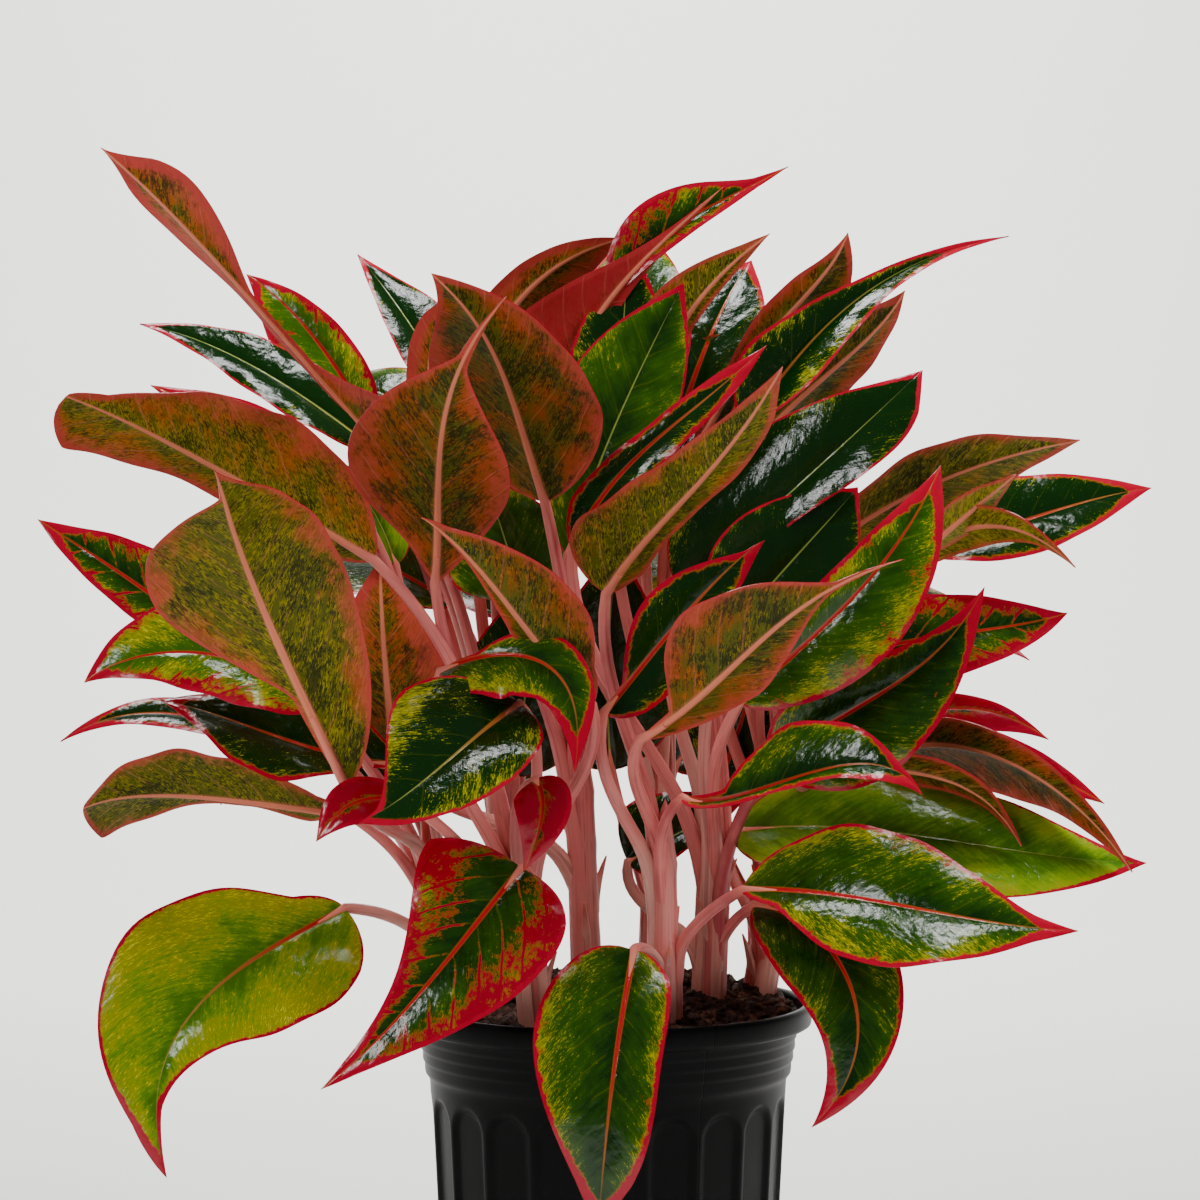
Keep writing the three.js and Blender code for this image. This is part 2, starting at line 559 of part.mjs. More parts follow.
function blade(leaf) {
  const looks = upperSides(leaf, BLADE.stations);
  const across = leaf.wide < BLADE.slimBelow ? BLADE.slimAcross : BLADE.across;
  const shares = Array.from({ length: across + 1 }, (_, j) => (2 * j) / across - 1);
  const rings = BLADE.stations.map((s, k) => {
    const rib = ribPoint(leaf.rib, s);
    const look = looks[k];
    const aside = new THREE.Vector3().crossVectors(ribDirection(leaf.rib, s), look);
    const face = (share, lift) => {
      const { out, rise, slope } = acrossPoint(leaf, s, share);
      const half = halfWidth(leaf, s, share);
      const point = rib.clone().addScaledVector(aside, out * half).addScaledVector(look, rise * half);
      const normal = look.clone().multiplyScalar(Math.cos(slope));
      return point.addScaledVector(normal.addScaledVector(aside, -Math.sin(slope)), lift);
    };
    const upper = shares.map((share) => face(share, BLADE.thick / 2));
    const under = shares.map((share) => face(share, -BLADE.thick / 2));
    return [...upper, ...under.reverse()];
  });
  const under = (i) => i > across && i <= 2 * across;
  return solid(skin(ribPoint(leaf.rib, 0), rings, ribPoint(leaf.rib, 1), under));
}

// The stalk leaves the cane upwards, swings to the blade and runs on under it as its rib.
function stalk(stem, leaf) {
  const line = caneLine(stem);
  const up = line.getTangent(0);
  const lowest = (STALK.lowest - CANE.foot) / (stem.top[2] - CANE.foot);
  const from = line.getPoint(Math.max(leaf.from, lowest));
  const to = ribPoint(leaf.rib, 0);
  const span = from.distanceTo(to);
  const way = to.clone().sub(from).normalize();
  const pulled = (direction, pull) =>
    direction.clone().multiplyScalar(pull).addScaledVector(way, STALK.wayPull).normalize();
  const leave = pulled(up, STALK.upPull);
  const arrive = pulled(ribDirection(leaf.rib, 0), leaf.bend ?? STALK.bend);
  const path = new THREE.CubicBezierCurve3(
    from,
    from.clone().addScaledVector(leave, span * STALK.reach),
    to.clone().addScaledVector(arrive, -span * STALK.reach),
    to,
  );
  let lead = SEAM;
  const ring = (place, direction, radius) => {
    lead = squareTo(lead, direction);
    return ringRound(place, direction, lead, radius, STALK.sides);
  };
  const rings = Array.from({ length: STALK.steps + 1 }, (_, i) => {
    const share = i / STALK.steps;
    const radius = THREE.MathUtils.lerp(STALK.radius, STALK.neck, share);
    return ring(path.getPoint(share), path.getTangent(share), radius);
  });
  return solid(skin(from, rings, ribPoint(leaf.rib, STALK.intoBlade)));
}

function leafyStem(stem) {
  const leaves = stem.leaves.map((leaf) => ({ ...leaf, rib: ribOf(leaf) }));
  const pieces = leaves.flatMap((leaf) => [blade(leaf), stalk(stem, leaf)]);
  // A hollow that the fusing seals comes out as an inner skin of its own, and is left out.
  const [body] = wasm.Manifold.union([cane(stem), ...pieces])
    .decompose()
    .sort((a, b) => b.volume() - a.volume());
  return node(stem.name, body, LOOKS.leaves);
}

const plant = new THREE.Group();
plant.add(pot(), soil(), ...STEMS.map(leafyStem));

export default plant;
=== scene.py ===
"""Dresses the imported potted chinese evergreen: its fluted pot, the bark mix, the rose-coloured
canes and stalks, and leaf blades with red margins, speckled upper sides and bronze undersides."""

import json
import math
from typing import NamedTuple

import bmesh
import bpy
import numpy as np
from mathutils import Matrix, Vector

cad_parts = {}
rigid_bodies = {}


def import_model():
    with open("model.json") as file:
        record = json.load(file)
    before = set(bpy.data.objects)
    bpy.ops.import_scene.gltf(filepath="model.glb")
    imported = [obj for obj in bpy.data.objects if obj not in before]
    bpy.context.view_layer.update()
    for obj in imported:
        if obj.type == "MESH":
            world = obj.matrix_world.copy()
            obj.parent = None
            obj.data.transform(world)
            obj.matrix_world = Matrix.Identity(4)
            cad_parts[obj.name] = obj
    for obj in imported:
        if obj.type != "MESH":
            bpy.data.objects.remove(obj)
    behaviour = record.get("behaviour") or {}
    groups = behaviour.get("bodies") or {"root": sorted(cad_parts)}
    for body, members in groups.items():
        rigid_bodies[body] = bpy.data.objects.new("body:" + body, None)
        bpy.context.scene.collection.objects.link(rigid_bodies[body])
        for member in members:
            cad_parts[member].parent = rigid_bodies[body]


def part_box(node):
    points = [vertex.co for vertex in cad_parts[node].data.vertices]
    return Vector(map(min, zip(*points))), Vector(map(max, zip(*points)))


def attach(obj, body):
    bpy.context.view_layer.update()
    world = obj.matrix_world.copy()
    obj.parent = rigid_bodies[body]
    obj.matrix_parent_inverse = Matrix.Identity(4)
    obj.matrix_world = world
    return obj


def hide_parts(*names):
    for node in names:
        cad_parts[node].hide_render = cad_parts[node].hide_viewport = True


bl_info = {
    "name": "Potted chinese evergreen",
    "version": (1, 0, 0),
    "blender": (4, 5, 0),
    "location": "3D View > Sidebar > Evergreen",
    "description": "Makes the pot, bark mix, canes, stalks and leaf blades of a chinese evergreen",
    "category": "Add Mesh",
}

# The objects that a new file starts with go first.
for spare in list(bpy.data.objects):
    bpy.data.objects.remove(spare)
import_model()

MM = 0.001
BODY = "root"

# The view in which the leaves' places were read, which is the camera's too: the eye in millimetres
# from the origin, its tilt downwards in degrees, and in the picture's pixels its width and the eye's
# distance. The sensor's width is in millimetres.
EYE = (-4.4, -1800, 466)
TILT = 1
PICTURE = 1200
DISTANCE = 3303
SENSOR = 36


def seen(*places):
    """A rib through places seen in the view, as points in millimetres. A place is its pixels from
    the picture's left, its pixels from the top and its millimetres behind the pot's middle."""
    tilt = math.radians(TILT)
    ahead = np.array([0, math.cos(tilt), -math.sin(tilt)])
    up = np.array([0, math.sin(tilt), math.cos(tilt)])
    points = []
    for across, down, depth in places:
        sight = ahead + up * (PICTURE / 2 - down) / DISTANCE
        sight[0] += (across - PICTURE / 2) / DISTANCE
        points.append(np.array(EYE) + sight * (depth - EYE[1]) / sight[1])
    return tuple(map(tuple, points))


def behind(way, *places):
    """A rib of a leaf behind the others, as points in millimetres. Each place is so far out from
    the pot's middle and so high, in the direction way, in degrees from +X towards +Y."""
    turn = math.radians(way)
    return tuple((out * math.cos(turn), out * math.sin(turn), high) for out, high in places)


class Leaf(NamedTuple):
    """One leaf, in millimetres and degrees. leaves_at is the share of the cane below its stalk.
    rib runs from the stalk to the tip. round and taper shape the outline near the stalk and near
    the tip. left and right are how each half differs from the outline that all leaves share, at a
    quarter, half and three quarters of the rib."""

    wide: float
    turn: float
    leaves_at: float
    rib: tuple
    upper: str = "dark"
    under: str = "olive"
    fold: float = 18
    round: float = 0.6
    taper: float = 1.1
    twist: float = 0
    bend: float = 0.5
    wavy: float = 0.016
    left: tuple = (1, 1, 1)
    right: tuple = (1, 1, 1)


class Stem(NamedTuple):
    """A cane and its leaves. The name is the CAD node's."""

    name: str
    foot: tuple
    top: tuple
    leaves: tuple


# An upper side: how light its green is, how much yellow speckle, how much red over it, and the
# width of its red margin in millimetres.
UPPER_SIDES = {
    "dark": (0.0, 0.1, 0.0, 1.1),
    "glossy": (0.02, 0.12, 0.0, 1.1),
    "dark speckled": (0.12, 0.55, 0.05, 1.6),
    "dark red-edged": (0.08, 0.3, 0.1, 2.3),
    "green": (0.42, 0.3, 0.0, 1.2),
    "green red-edged": (0.3, 0.35, 0.12, 2.3),
    "mottled": (0.4, 0.62, 0.16, 2.2),
    "lime": (0.95, 0.3, 0.0, 1.2),
    "yellow speckled": (1.0, 1.0, 0.1, 1.8),
    "yellow flushed": (0.75, 1.0, 0.4, 2.4),
    "flushed olive": (0.5, 0.75, 0.3, 2.4),
    "red flushed": (0.36, 0.5, 0.55, 2.6),
    "crimson": (0.12, 0.2, 1.0, 2.6),
}

# An underside: how orange it is against olive, how pale, how red, and its margin's width.
UNDER_SIDES = {
    "olive": (0.35, 0.1, 0.0, 1.8),
    "pale olive": (0.0, 0.7, 0.0, 1.6),
    "green": (-0.25, 0.3, 0.0, 2.2),
    "bronze": (0.6, 0.1, 0.05, 2.1),
    "brown": (0.45, 0.05, 0.05, 2.4),
    "golden": (0.1, 0.35, 0.0, 2.0),
    "tan": (0.32, 0.55, 0.1, 2.2),
    "pink": (0.6, 0.55, 0.4, 4.5),
    "crimson": (0.6, 0.2, 1.0, 3.0),
}
# The leaves that the picture shows, and among and behind them those that fill the plant.
STEMS = (
    Stem("stem_left", (-78, -8), (-92, -14, 290), (
        Leaf(32, 5, 0.9, seen((330, 470, -20), (240, 425, -20), (150, 385, -25)), "crimson", "bronze"),
        Leaf(36, 40, 0.8, seen((395, 565, -10), (372, 510, -10), (330, 455, -10)), "lime", "brown"),
        Leaf(110, 160, 0.9, seen((346, 787, -120), (260, 602, -150), (230, 520, -190), (214, 470, -240)),
             "dark", "golden", taper=1.35, wavy=0.03, left=(0.82, 0.93, 1.2), right=(0.62, 1.02, 0.42)),
        Leaf(46, 0, 0.8, seen((240, 665, -60), (165, 605, -60), (100, 560, -60), (37, 519, -55)),
             "red flushed", "olive", wavy=0.04, left=(0.75, 0.75, 0.85)),
        Leaf(80, 10, 0.75, seen((320, 705, -85), (235, 660, -95), (150, 655, -100), (84, 683, -100)),
             "yellow flushed", "bronze", wavy=0.04, left=(0.75, 0.65, 0.6), right=(0.9, 0.9, 0.9)),
        Leaf(70, 25, 0.7, seen((395, 765, -60), (310, 748, -66), (235, 722, -68), (160, 700, -66)),
             "dark red-edged", "brown", wavy=0.04, left=(0.6, 1, 1)),
        Leaf(30, 30, 0.75, seen((300, 742, -25), (220, 722, -28), (140, 714, -34), (60, 742, -44)),
             "dark red-edged", "golden"),
        Leaf(60, 115, 0.6, seen((350, 815, -50), (250, 802, -60), (158, 795, -70), (83, 808, -90)),
             "glossy", "green", taper=0.7, wavy=0.05, left=(0.7, 1, 1.1), right=(0.2, 0.2, 1)),
        Leaf(100, 0, 0.4, seen((345, 908, -50), (250, 962, -85), (172, 1045, -110), (167, 1178, -120)),
             "yellow speckled", "bronze", taper=0.9, wavy=0.04, left=(1.05, 0.72, 0.3),
             right=(0.86, 1.12, 0.95)),
        Leaf(64, 25, 0.5, behind(150, (135, 330), (200, 355), (262, 312)), "dark", "brown"),
    )),
    Stem("stem_front_left", (-32, -42), (-46, -62, 290), (
        Leaf(86, 125, 0.9, seen((374, 560, -60), (262, 494, -75), (158, 437, -100), (66, 396, -140)),
             "red flushed", "tan", taper=0.5, bend=0.8, wavy=0.05, left=(1.2, 1, 0.6),
             right=(0.5, 0.4, 0.7)),
        Leaf(90, -170, 0.95, seen((435, 584, -60), (438, 490, -100), (450, 395, -145), (507, 296, -180)),
             "red flushed", "bronze", fold=14, round=0.95, left=(0.88, 0.74, 0.15), right=(1, 1, 0.3)),
        Leaf(85, 0, 0.7, seen((520, 704, -115), (470, 742, -150), (415, 788, -175), (359, 823, -190)),
             "dark speckled", "golden", left=(0.75, 0.72, 0.75), right=(1, 0.95, 0.55)),
        Leaf(55, -5, 0.8, seen((440, 672, -105), (505, 655, -120), (562, 680, -130), (574, 774, -140)),
             "mottled", "olive", wavy=0.05, left=(0.25, 0.65, 0.85)),
        Leaf(78, 130, 0.9, seen((592, 705, -100), (535, 640, -120), (480, 570, -140), (421, 517, -155)),
             "dark speckled", "olive", left=(0.75, 0.9, 0.7), right=(0.3, 0.2, 0.12)),
        Leaf(28, 5, 0.5, seen((405, 800, -122), (365, 800, -136), (338, 814, -142), (316, 842, -145)),
             "crimson", "brown"),
        Leaf(82, 0, 0.5, seen((522, 868, -100), (462, 942, -130), (395, 1022, -145), (320, 1090, -150)),
             "red flushed", "golden", round=0.5, left=(1.1, 0.9, 0.65), right=(1, 0.52, 0.35)),
        Leaf(30, -5, 0.6, seen((535, 780, -112), (542, 815, -120), (523, 872, -120)), "crimson", "olive"),
    )),
    Stem("stem_middle", (-8, 10), (-14, 4, 330), (
        Leaf(92, 125, 0.95, seen((545, 502, -40), (515, 408, -75), (484, 335, -110), (431, 273, -130)),
             "dark red-edged", "brown"),
        Leaf(75, 160, 0.8, seen((452, 480, -30), (430, 385, -55), (447, 297, -70)), "mottled", "pink",
             wavy=0.04, right=(0.5, 0.42, 0.6)),
        Leaf(70, 170, 0.7, seen((395, 760, -40), (385, 660, -45), (380, 558, -40)), "dark", "pink"),
        Leaf(70, -10, 0.8, seen((520, 600, 12), (505, 540, 14), (480, 470, 16)), "green", "olive"),
    )),
    Stem("stem_front_right", (30, -48), (30, -56, 296), (
        Leaf(76, -125, 0.95, seen((606, 594, -70), (655, 530, -100), (715, 464, -130), (783, 366, -150)),
             "mottled", "golden", wavy=0.05, left=(0.3, 0.32, 0.7), right=(0.95, 0.72, 0.7)),
        Leaf(84, -130, 0.95, seen((640, 739, -110), (718, 680, -145), (795, 612, -170), (904, 559, -170)),
             "yellow speckled", "olive", wavy=0.05, left=(0.5, 0.5, 0.2), right=(0.57, 0.95, 0.4)),
        Leaf(48, 20, 0.8, seen((603, 714, -85), (655, 650, -82), (712, 585, -76), (765, 540, -68)),
             "dark red-edged", "golden", left=(0.5, 0.95, 0.65), right=(0.9, 0.85, 0.85)),
        Leaf(85, -10, 0.4, seen((742, 890, -75), (855, 898, -115), (965, 918, -140), (1079, 931, -150)),
             "mottled", "olive", wavy=0.03, left=(1, 0.95, 0.75), right=(0.7, 1, 0.9)),
        Leaf(90, -20, 0.6, seen((682, 798, -95), (760, 790, -125), (850, 765, -150), (923, 796, -165)),
             "green red-edged", "bronze", fold=35, wavy=0.05, left=(0.3, 0.72, 0.55),
             right=(0.2, 0.25, 0.5)),
        Leaf(80, -5, 0.3, seen((634, 950, -95), (619, 1035, -135), (608, 1120, -150), (598, 1228, -150)),
             "mottled", "brown", round=0.5, taper=0.9, left=(0.62, 0.62, 0.85), right=(1.08, 1.08, 1)),
    )),
    Stem("stem_right", (52, -6), (58, -10, 300), (
        Leaf(60, -5, 1, seen((745, 428, 0), (818, 335, 8), (900, 272, 20), (1010, 236, 42)),
             "dark speckled", "bronze", fold=42, wavy=0.04, left=(0.8, 0.38, 0.25), right=(0.9, 0.62, 0.4)),
        Leaf(65, -120, 0.9, seen((730, 475, 30), (800, 398, 30), (860, 345, 30), (905, 290, 35)), "glossy",
             "brown", wavy=0.04, left=(0.7, 0.7, 0.8)),
        Leaf(85, -5, 0.9, seen((680, 590, -30), (760, 520, -34), (845, 443, -42), (923, 370, -35)),
             "glossy", "golden", right=(0.35, 0.45, 1)),
        Leaf(60, -5, 0.8, seen((572, 548, -40), (625, 470, -50), (690, 412, -52), (767, 345, -45)),
             "dark red-edged", "olive", wavy=0.05, left=(0.45, 0.35, 0.5), right=(0.6, 0.5, 0.6)),
        Leaf(80, 10, 0.85, seen((740, 702, -95), (815, 635, -110), (885, 560, -115), (941, 465, -95)),
             "flushed olive", "bronze", wavy=0.05, left=(0.45, 0.48, 0.6), right=(0.75, 0.9, 1.03)),
        Leaf(75, 10, 0.7, seen((725, 640, -50), (775, 580, -45), (820, 530, -40), (858, 487, -30)), "dark",
             "brown"),
        Leaf(80, 10, 0.6, seen((770, 765, -60), (850, 712, -80), (925, 662, -90), (985, 586, -85)),
             "green red-edged", "golden", wavy=0.04, left=(0.6, 0.5, 0.45), right=(1, 0.95, 0.8)),
        Leaf(62, 0, 0.4, seen((755, 905, -30), (826, 945, -60), (858, 1030, -75), (811, 1128, -80)),
             "green red-edged", "olive"),
        Leaf(70, 5, 0.5, seen((628, 862, 10), (675, 835, 5), (750, 795, 0)), "dark", "bronze",
             left=(0.8, 0.8, 0.8), right=(0.4, 0.35, 0.4)),
    )),
    Stem("stem_far_right", (73, 26), (96, 30, 290), (
        Leaf(75, -110, 0.95, seen((800, 570, 10), (885, 508, 5), (980, 465, -8), (1081, 440, -25)),
             "mottled", "golden", wavy=0.04, right=(0.45, 0.72, 0.85)),
        Leaf(62, -10, 0.9, seen((925, 552, 40), (1000, 529, 45), (1075, 505, 55), (1152, 488, 65)),
             "dark red-edged", "brown", left=(1.2, 1.05, 1), right=(0.7, 0.85, 0.95)),
        Leaf(28, -115, 0.8, seen((890, 572, -5), (950, 534, -20), (1012, 528, -45), (1076, 568, -70)),
             "dark", "pale olive"),
        Leaf(26, -120, 0.85, seen((925, 550, -30), (972, 510, -35), (1016, 474, -45)), "dark speckled",
             "pale olive"),
        Leaf(55, -5, 0.7, seen((840, 660, 10), (920, 640, 20), (1000, 628, 30), (1068, 613, 40)),
             "red flushed", "bronze"),
        Leaf(45, -15, 0.6, seen((860, 735, 20), (930, 712, 25), (990, 712, 30), (1049, 740, 30)), "crimson",
             "brown", left=(0.6, 0.5, 0.5)),
        Leaf(65, -105, 0.5, seen((860, 770, -20), (950, 745, -45), (1050, 785, -75), (1133, 873, -90)),
             "mottled", "bronze", right=(0.6, 0.55, 0.55)),
        Leaf(26, -5, 0.4, seen((930, 742, 35), (990, 752, 40), (1050, 775, 40), (1105, 804, 40)), "crimson",
             "olive"),
        Leaf(34, -95, 0.95, seen((820, 765, -46), (900, 770, -70), (970, 790, -75), (1022, 847, -80)),
             "dark", "brown", bend=0.2),
        Leaf(85, -20, 0.3, seen((735, 832, -20), (870, 830, -50), (1010, 850, -70), (1147, 863, -80)),
             "lime", "brown", right=(1.2, 1.25, 1.3)),
        Leaf(74, -25, 0.5, behind(35, (110, 330), (190, 350), (255, 290)), "green", "golden"),
        Leaf(68, -30, 0.8, behind(22, (105, 420), (180, 430), (262, 398)), "dark speckled", "olive"),
        Leaf(78, -20, 0.8, behind(52, (100, 420), (180, 455), (258, 420)), "dark red-edged", "bronze"),
        Leaf(70, -20, 0.9, behind(40, (95, 480), (155, 528), (218, 556)), "glossy", "brown"),
        Leaf(61, -5, 0.5, ((60, 58, 325), (78, 56, 375), (88, 50, 425)), "dark red-edged", "golden"),
    )),
    Stem("stem_back_left", (-44, 56), (-58, 66, 310), (
        Leaf(60, 105, 0.9, seen((395, 462, 0), (297, 352, -20), (199, 242, -50), (100, 147, -60)),
             "yellow speckled", "pink", fold=28, taper=1.5, twist=40, wavy=0.03, left=(0.3, 0.12, 2),
             right=(0.65, 0.42, 1.35)),
        Leaf(54, -5, 0.8, seen((372, 430, 50), (312, 335, 60), (246, 274, 75)), "yellow flushed", "brown",
             wavy=0.04, right=(0.62, 0.6, 0.6)),
        Leaf(48, 20, 0.7, seen((375, 450, 30), (300, 395, 35), (220, 350, 40), (139, 324, 45)), "glossy",
             "golden", wavy=0.04, left=(0.85, 0.8, 0.75)),
        Leaf(60, 20, 0.95, seen((470, 430, 30), (420, 340, 55), (357, 254, 85)), "glossy", "olive",
             left=(0.6, 0.6, 0.65)),
        Leaf(60, -125, 0.9, seen((490, 345, 72), (545, 275, 74), (625, 238, 74)), "dark speckled", "pink",
             right=(0.6, 0.5, 0.5)),
        Leaf(78, 12, 0.5, behind(112, (110, 330), (185, 350), (250, 300)), "dark speckled", "brown"),
        Leaf(76, 15, 0.8, behind(118, (95, 420), (180, 455), (255, 430)), "dark red-edged", "golden"),
        Leaf(74, 25, 0.8, behind(150, (100, 430), (185, 460), (262, 440)), "mottled", "olive"),
        Leaf(76, 10, 0.95, behind(112, (75, 510), (150, 560), (215, 580)), "dark", "bronze"),
        Leaf(72, 20, 0.95, behind(142, (80, 500), (150, 545), (215, 560)), "green", "brown"),
        Leaf(66, 10, 1, behind(130, (74, 520), (105, 575), (145, 605)), "dark speckled", "golden"),
        Leaf(76, 5, 0.5, ((-52, 46, 335), (-44, 40, 395), (-34, 36, 452)), "dark", "olive"),
    )),
    Stem("stem_back_right", (24, 62), (30, 74, 320), (
        Leaf(56, 0, 1, seen((575, 390, 62), (625, 272, 55), (700, 212, 55), (789, 166, 60)), "red flushed",
             "bronze", fold=30, left=(0.15, 0.85, 0.8), right=(0.2, 0.45, 0.45)),
        Leaf(56, -145, 1, seen((568, 405, 45), (590, 330, 50), (642, 262, 50), (724, 186, 52)), "dark",
             "crimson", wavy=0.04, left=(0.35, 0.3, 0.3), right=(1.5, 0.75, 0.3)),
        Leaf(75, 10, 0.9, seen((568, 555, -5), (604, 452, 8), (644, 362, 22), (684, 282, 30)), "green",
             "golden", left=(0.8, 1, 1.1), right=(0.7, 0.85, 1)),
        Leaf(42, -150, 0.8, seen((640, 430, 48), (686, 318, 45), (771, 233, 50)), "dark speckled", "golden",
             left=(0.4, 0.35, 0.5), right=(1, 1.15, 1)),
        Leaf(50, -170, 0.9, seen((700, 430, 80), (715, 370, 82), (737, 336, 85)), "dark speckled",
             "pale olive"),
        Leaf(78, -135, 0.8, seen((700, 445, 45), (758, 350, 40), (812, 288, 35), (848, 232, 30)),
             "dark red-edged", "brown", wavy=0.04, right=(0.25, 0.38, 0.4)),
        Leaf(76, -10, 0.5, behind(68, (100, 335), (180, 350), (250, 300)), "dark red-edged", "golden"),
        Leaf(80, 0, 0.8, behind(85, (95, 430), (180, 470), (262, 445)), "mottled", "olive"),
        Leaf(78, -10, 0.95, behind(72, (75, 500), (150, 560), (220, 570)), "dark", "bronze"),
        Leaf(70, 0, 1, behind(80, (45, 530), (85, 600), (130, 650)), "green", "brown"),
        Leaf(66, 0, 1, behind(80, (20, 470), (40, 560), (75, 640)), "dark speckled", "golden"),
        Leaf(66, -10, 1, behind(56, (70, 530), (110, 590), (150, 630)), "dark red-edged", "olive"),
        Leaf(80, 5, 0.5, ((2, 52, 338), (0, 46, 400), (6, 40, 466)), "dark", "bronze"),
    )),
)


# ---- sizes and colours that a user would change ----


def shade(red, green, blue):
    """A colour as a display shows it, from 0 to 255, as the linear one that a shader needs."""
    shown = (c / 255 for c in (red, green, blue))
    return tuple(c / 12.92 if c <= 0.04045 else ((c + 0.055) / 1.055) ** 2.4 for c in shown)


def length(name, description, default):
    return bpy.props.FloatProperty(
        name=name, description=description, default=default, unit="LENGTH", precision=4
    )


def number(name, description, default):
    return bpy.props.FloatProperty(name=name, description=description, default=default)


def count(name, description, default):
    return bpy.props.IntProperty(name=name, description=description, default=default, min=1)


def angle(name, description, default):
    return bpy.props.FloatProperty(
        name=name, description=description, default=math.radians(default), subtype="ANGLE"
    )


def colour(name, description, default):
    return bpy.props.FloatVectorProperty(
        name=name, description=description, default=default, size=3, min=0, max=1, subtype="COLOR"
    )


class EVERGREEN_PG_pot(bpy.types.PropertyGroup):
    flutes: count("Flutes", "Arched panels round the pot", 20)
    panel_width: length("Panel width", "Width of one arched panel", 0.0285)
    panel_depth: length("Panel depth", "How far a panel is sunk into the wall", 0.0022)
    panel_top: length("Panel top", "Height of the crown of a panel's arch", 0.1675)
    panel_foot: length("Panel foot", "Height of the lower end of a panel", 0.009)
    first_panel: angle("First panel", "Direction of the first panel, right of the front", 2.5)
    plastic: colour("Plastic", "Colour of the moulded plastic", shade(3, 3, 4))


class EVERGREEN_PG_mix(bpy.types.PropertyGroup):
    edge: length("Edge height", "Height of the mix at the pot's wall", 0.205)
    mound: length("Mound", "How far the mix is heaped up over its edge", 0.020)
    reach: length("Reach", "How far from its top the mound has run out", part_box("pot")[1].x)
    chip: length("Chip", "Length of a usual chip of bark", 0.0085)
    density: number("Chips", "Chips of bark on a square metre", 42000)
    bark: colour("Bark", "Colour of dry bark", shade(108, 68, 50))
    coir: colour("Coir", "Colour of the damp coir under the bark", shade(50, 30, 22))


class EVERGREEN_PG_stems(bpy.types.PropertyGroup):
    cane_radius: length("Cane radius", "Radius of a cane at its foot", 0.008)
    stalk_radius: length("Stalk radius", "Radius of a leaf stalk where it leaves the cane", 0.0044)
    neck_radius: length("Neck radius", "Radius of a leaf stalk where it meets the blade", 0.0028)
    groove: number("Groove", "Depth of the groove along a stalk, as a share of its radius", 0.5)
    rose: colour("Rose", "Colour of the upper part of a stalk", shade(216, 118, 112))
    blush: colour("Blush", "Colour of the streaks along a stalk", shade(146, 26, 50))
    sheath: colour("Sheath", "Colour of a stalk's pale lower part", shade(236, 190, 172))


class EVERGREEN_PG_blades(bpy.types.PropertyGroup):
    thickness: length("Thickness", "Thickness of a blade away from its rib", 0.0008)
    rib: length("Rib", "How far the rib stands out under a blade's stalk end", 0.0018)
    vein_pitch: length("Vein pitch", "Distance between side veins", 0.0190)
    quilting: length("Quilting", "How far a blade swells between its side veins", 0.00020)
    deep_green: colour("Deep green", "Darkest green of an upper side", shade(4, 36, 1))
    leaf_green: colour("Leaf green", "Lighter green of an upper side", shade(62, 104, 2))
    speckle: colour("Speckle", "Yellow of the speckles", shade(204, 196, 8))
    lime: colour("Lime", "Yellow-green of the lightest upper sides", shade(128, 160, 2))
    olive: colour("Olive", "Yellow-olive of the mottled parts of an upper side", shade(136, 132, 2))
    margin: colour("Margin", "Red of the margin", shade(164, 0, 36))
    fringe: colour("Fringe", "Orange between the green and the red", shade(178, 98, 8))
    flush: colour("Flush", "Red that spreads over some blades", shade(148, 0, 30))
    rib_pink: colour("Rib", "Colour of the rib and its veins", shade(224, 124, 96))
    under_olive: colour("Under olive", "Olive of an underside", shade(84, 84, 2))
    under_orange: colour("Under orange", "Orange of an underside", shade(152, 66, 10))
    under_pale: colour("Under pale", "Palest underside", shade(160, 146, 8))
    under_fleck: colour("Under fleck", "Flecks of an orange underside", shade(186, 84, 20))
    under_pink: colour("Under pink", "Pink of an underside", shade(196, 72, 64))


class EVERGREEN_PG_stage(bpy.types.PropertyGroup):
    camera_height: length("Camera height", "Height of the camera over the floor", EYE[2] * MM)
    camera_away: length("Camera distance", "How far the camera stands in front of the pot", -EYE[1] * MM)
    camera_aside: length("Camera aside", "How far the camera stands to the right", EYE[0] * MM)
    tilt: angle("Tilt", "How far the camera looks down", TILT)
    focal: number("Focal length", "Focal length in millimetres", DISTANCE / PICTURE * SENSOR)
    floor: colour("Floor", "Colour of the floor", shade(236, 236, 232))


def group(name, description, kind):
    return bpy.props.PointerProperty(name=name, description=description, type=kind)


class EVERGREEN_PG_all(bpy.types.PropertyGroup):
    pot: group("Pot", "Sizes of the pot", EVERGREEN_PG_pot)
    mix: group("Mix", "Sizes and colours of the potting mix", EVERGREEN_PG_mix)
    stems: group("Stems", "Sizes and colours of the canes and stalks", EVERGREEN_PG_stems)
    blades: group("Blades", "Sizes and colours of the leaf blades", EVERGREEN_PG_blades)
    stage: group("Stage", "Floor, light and camera", EVERGREEN_PG_stage)


def sizes(name):
    return getattr(bpy.context.scene.evergreen, name)


# ---- nodes ----


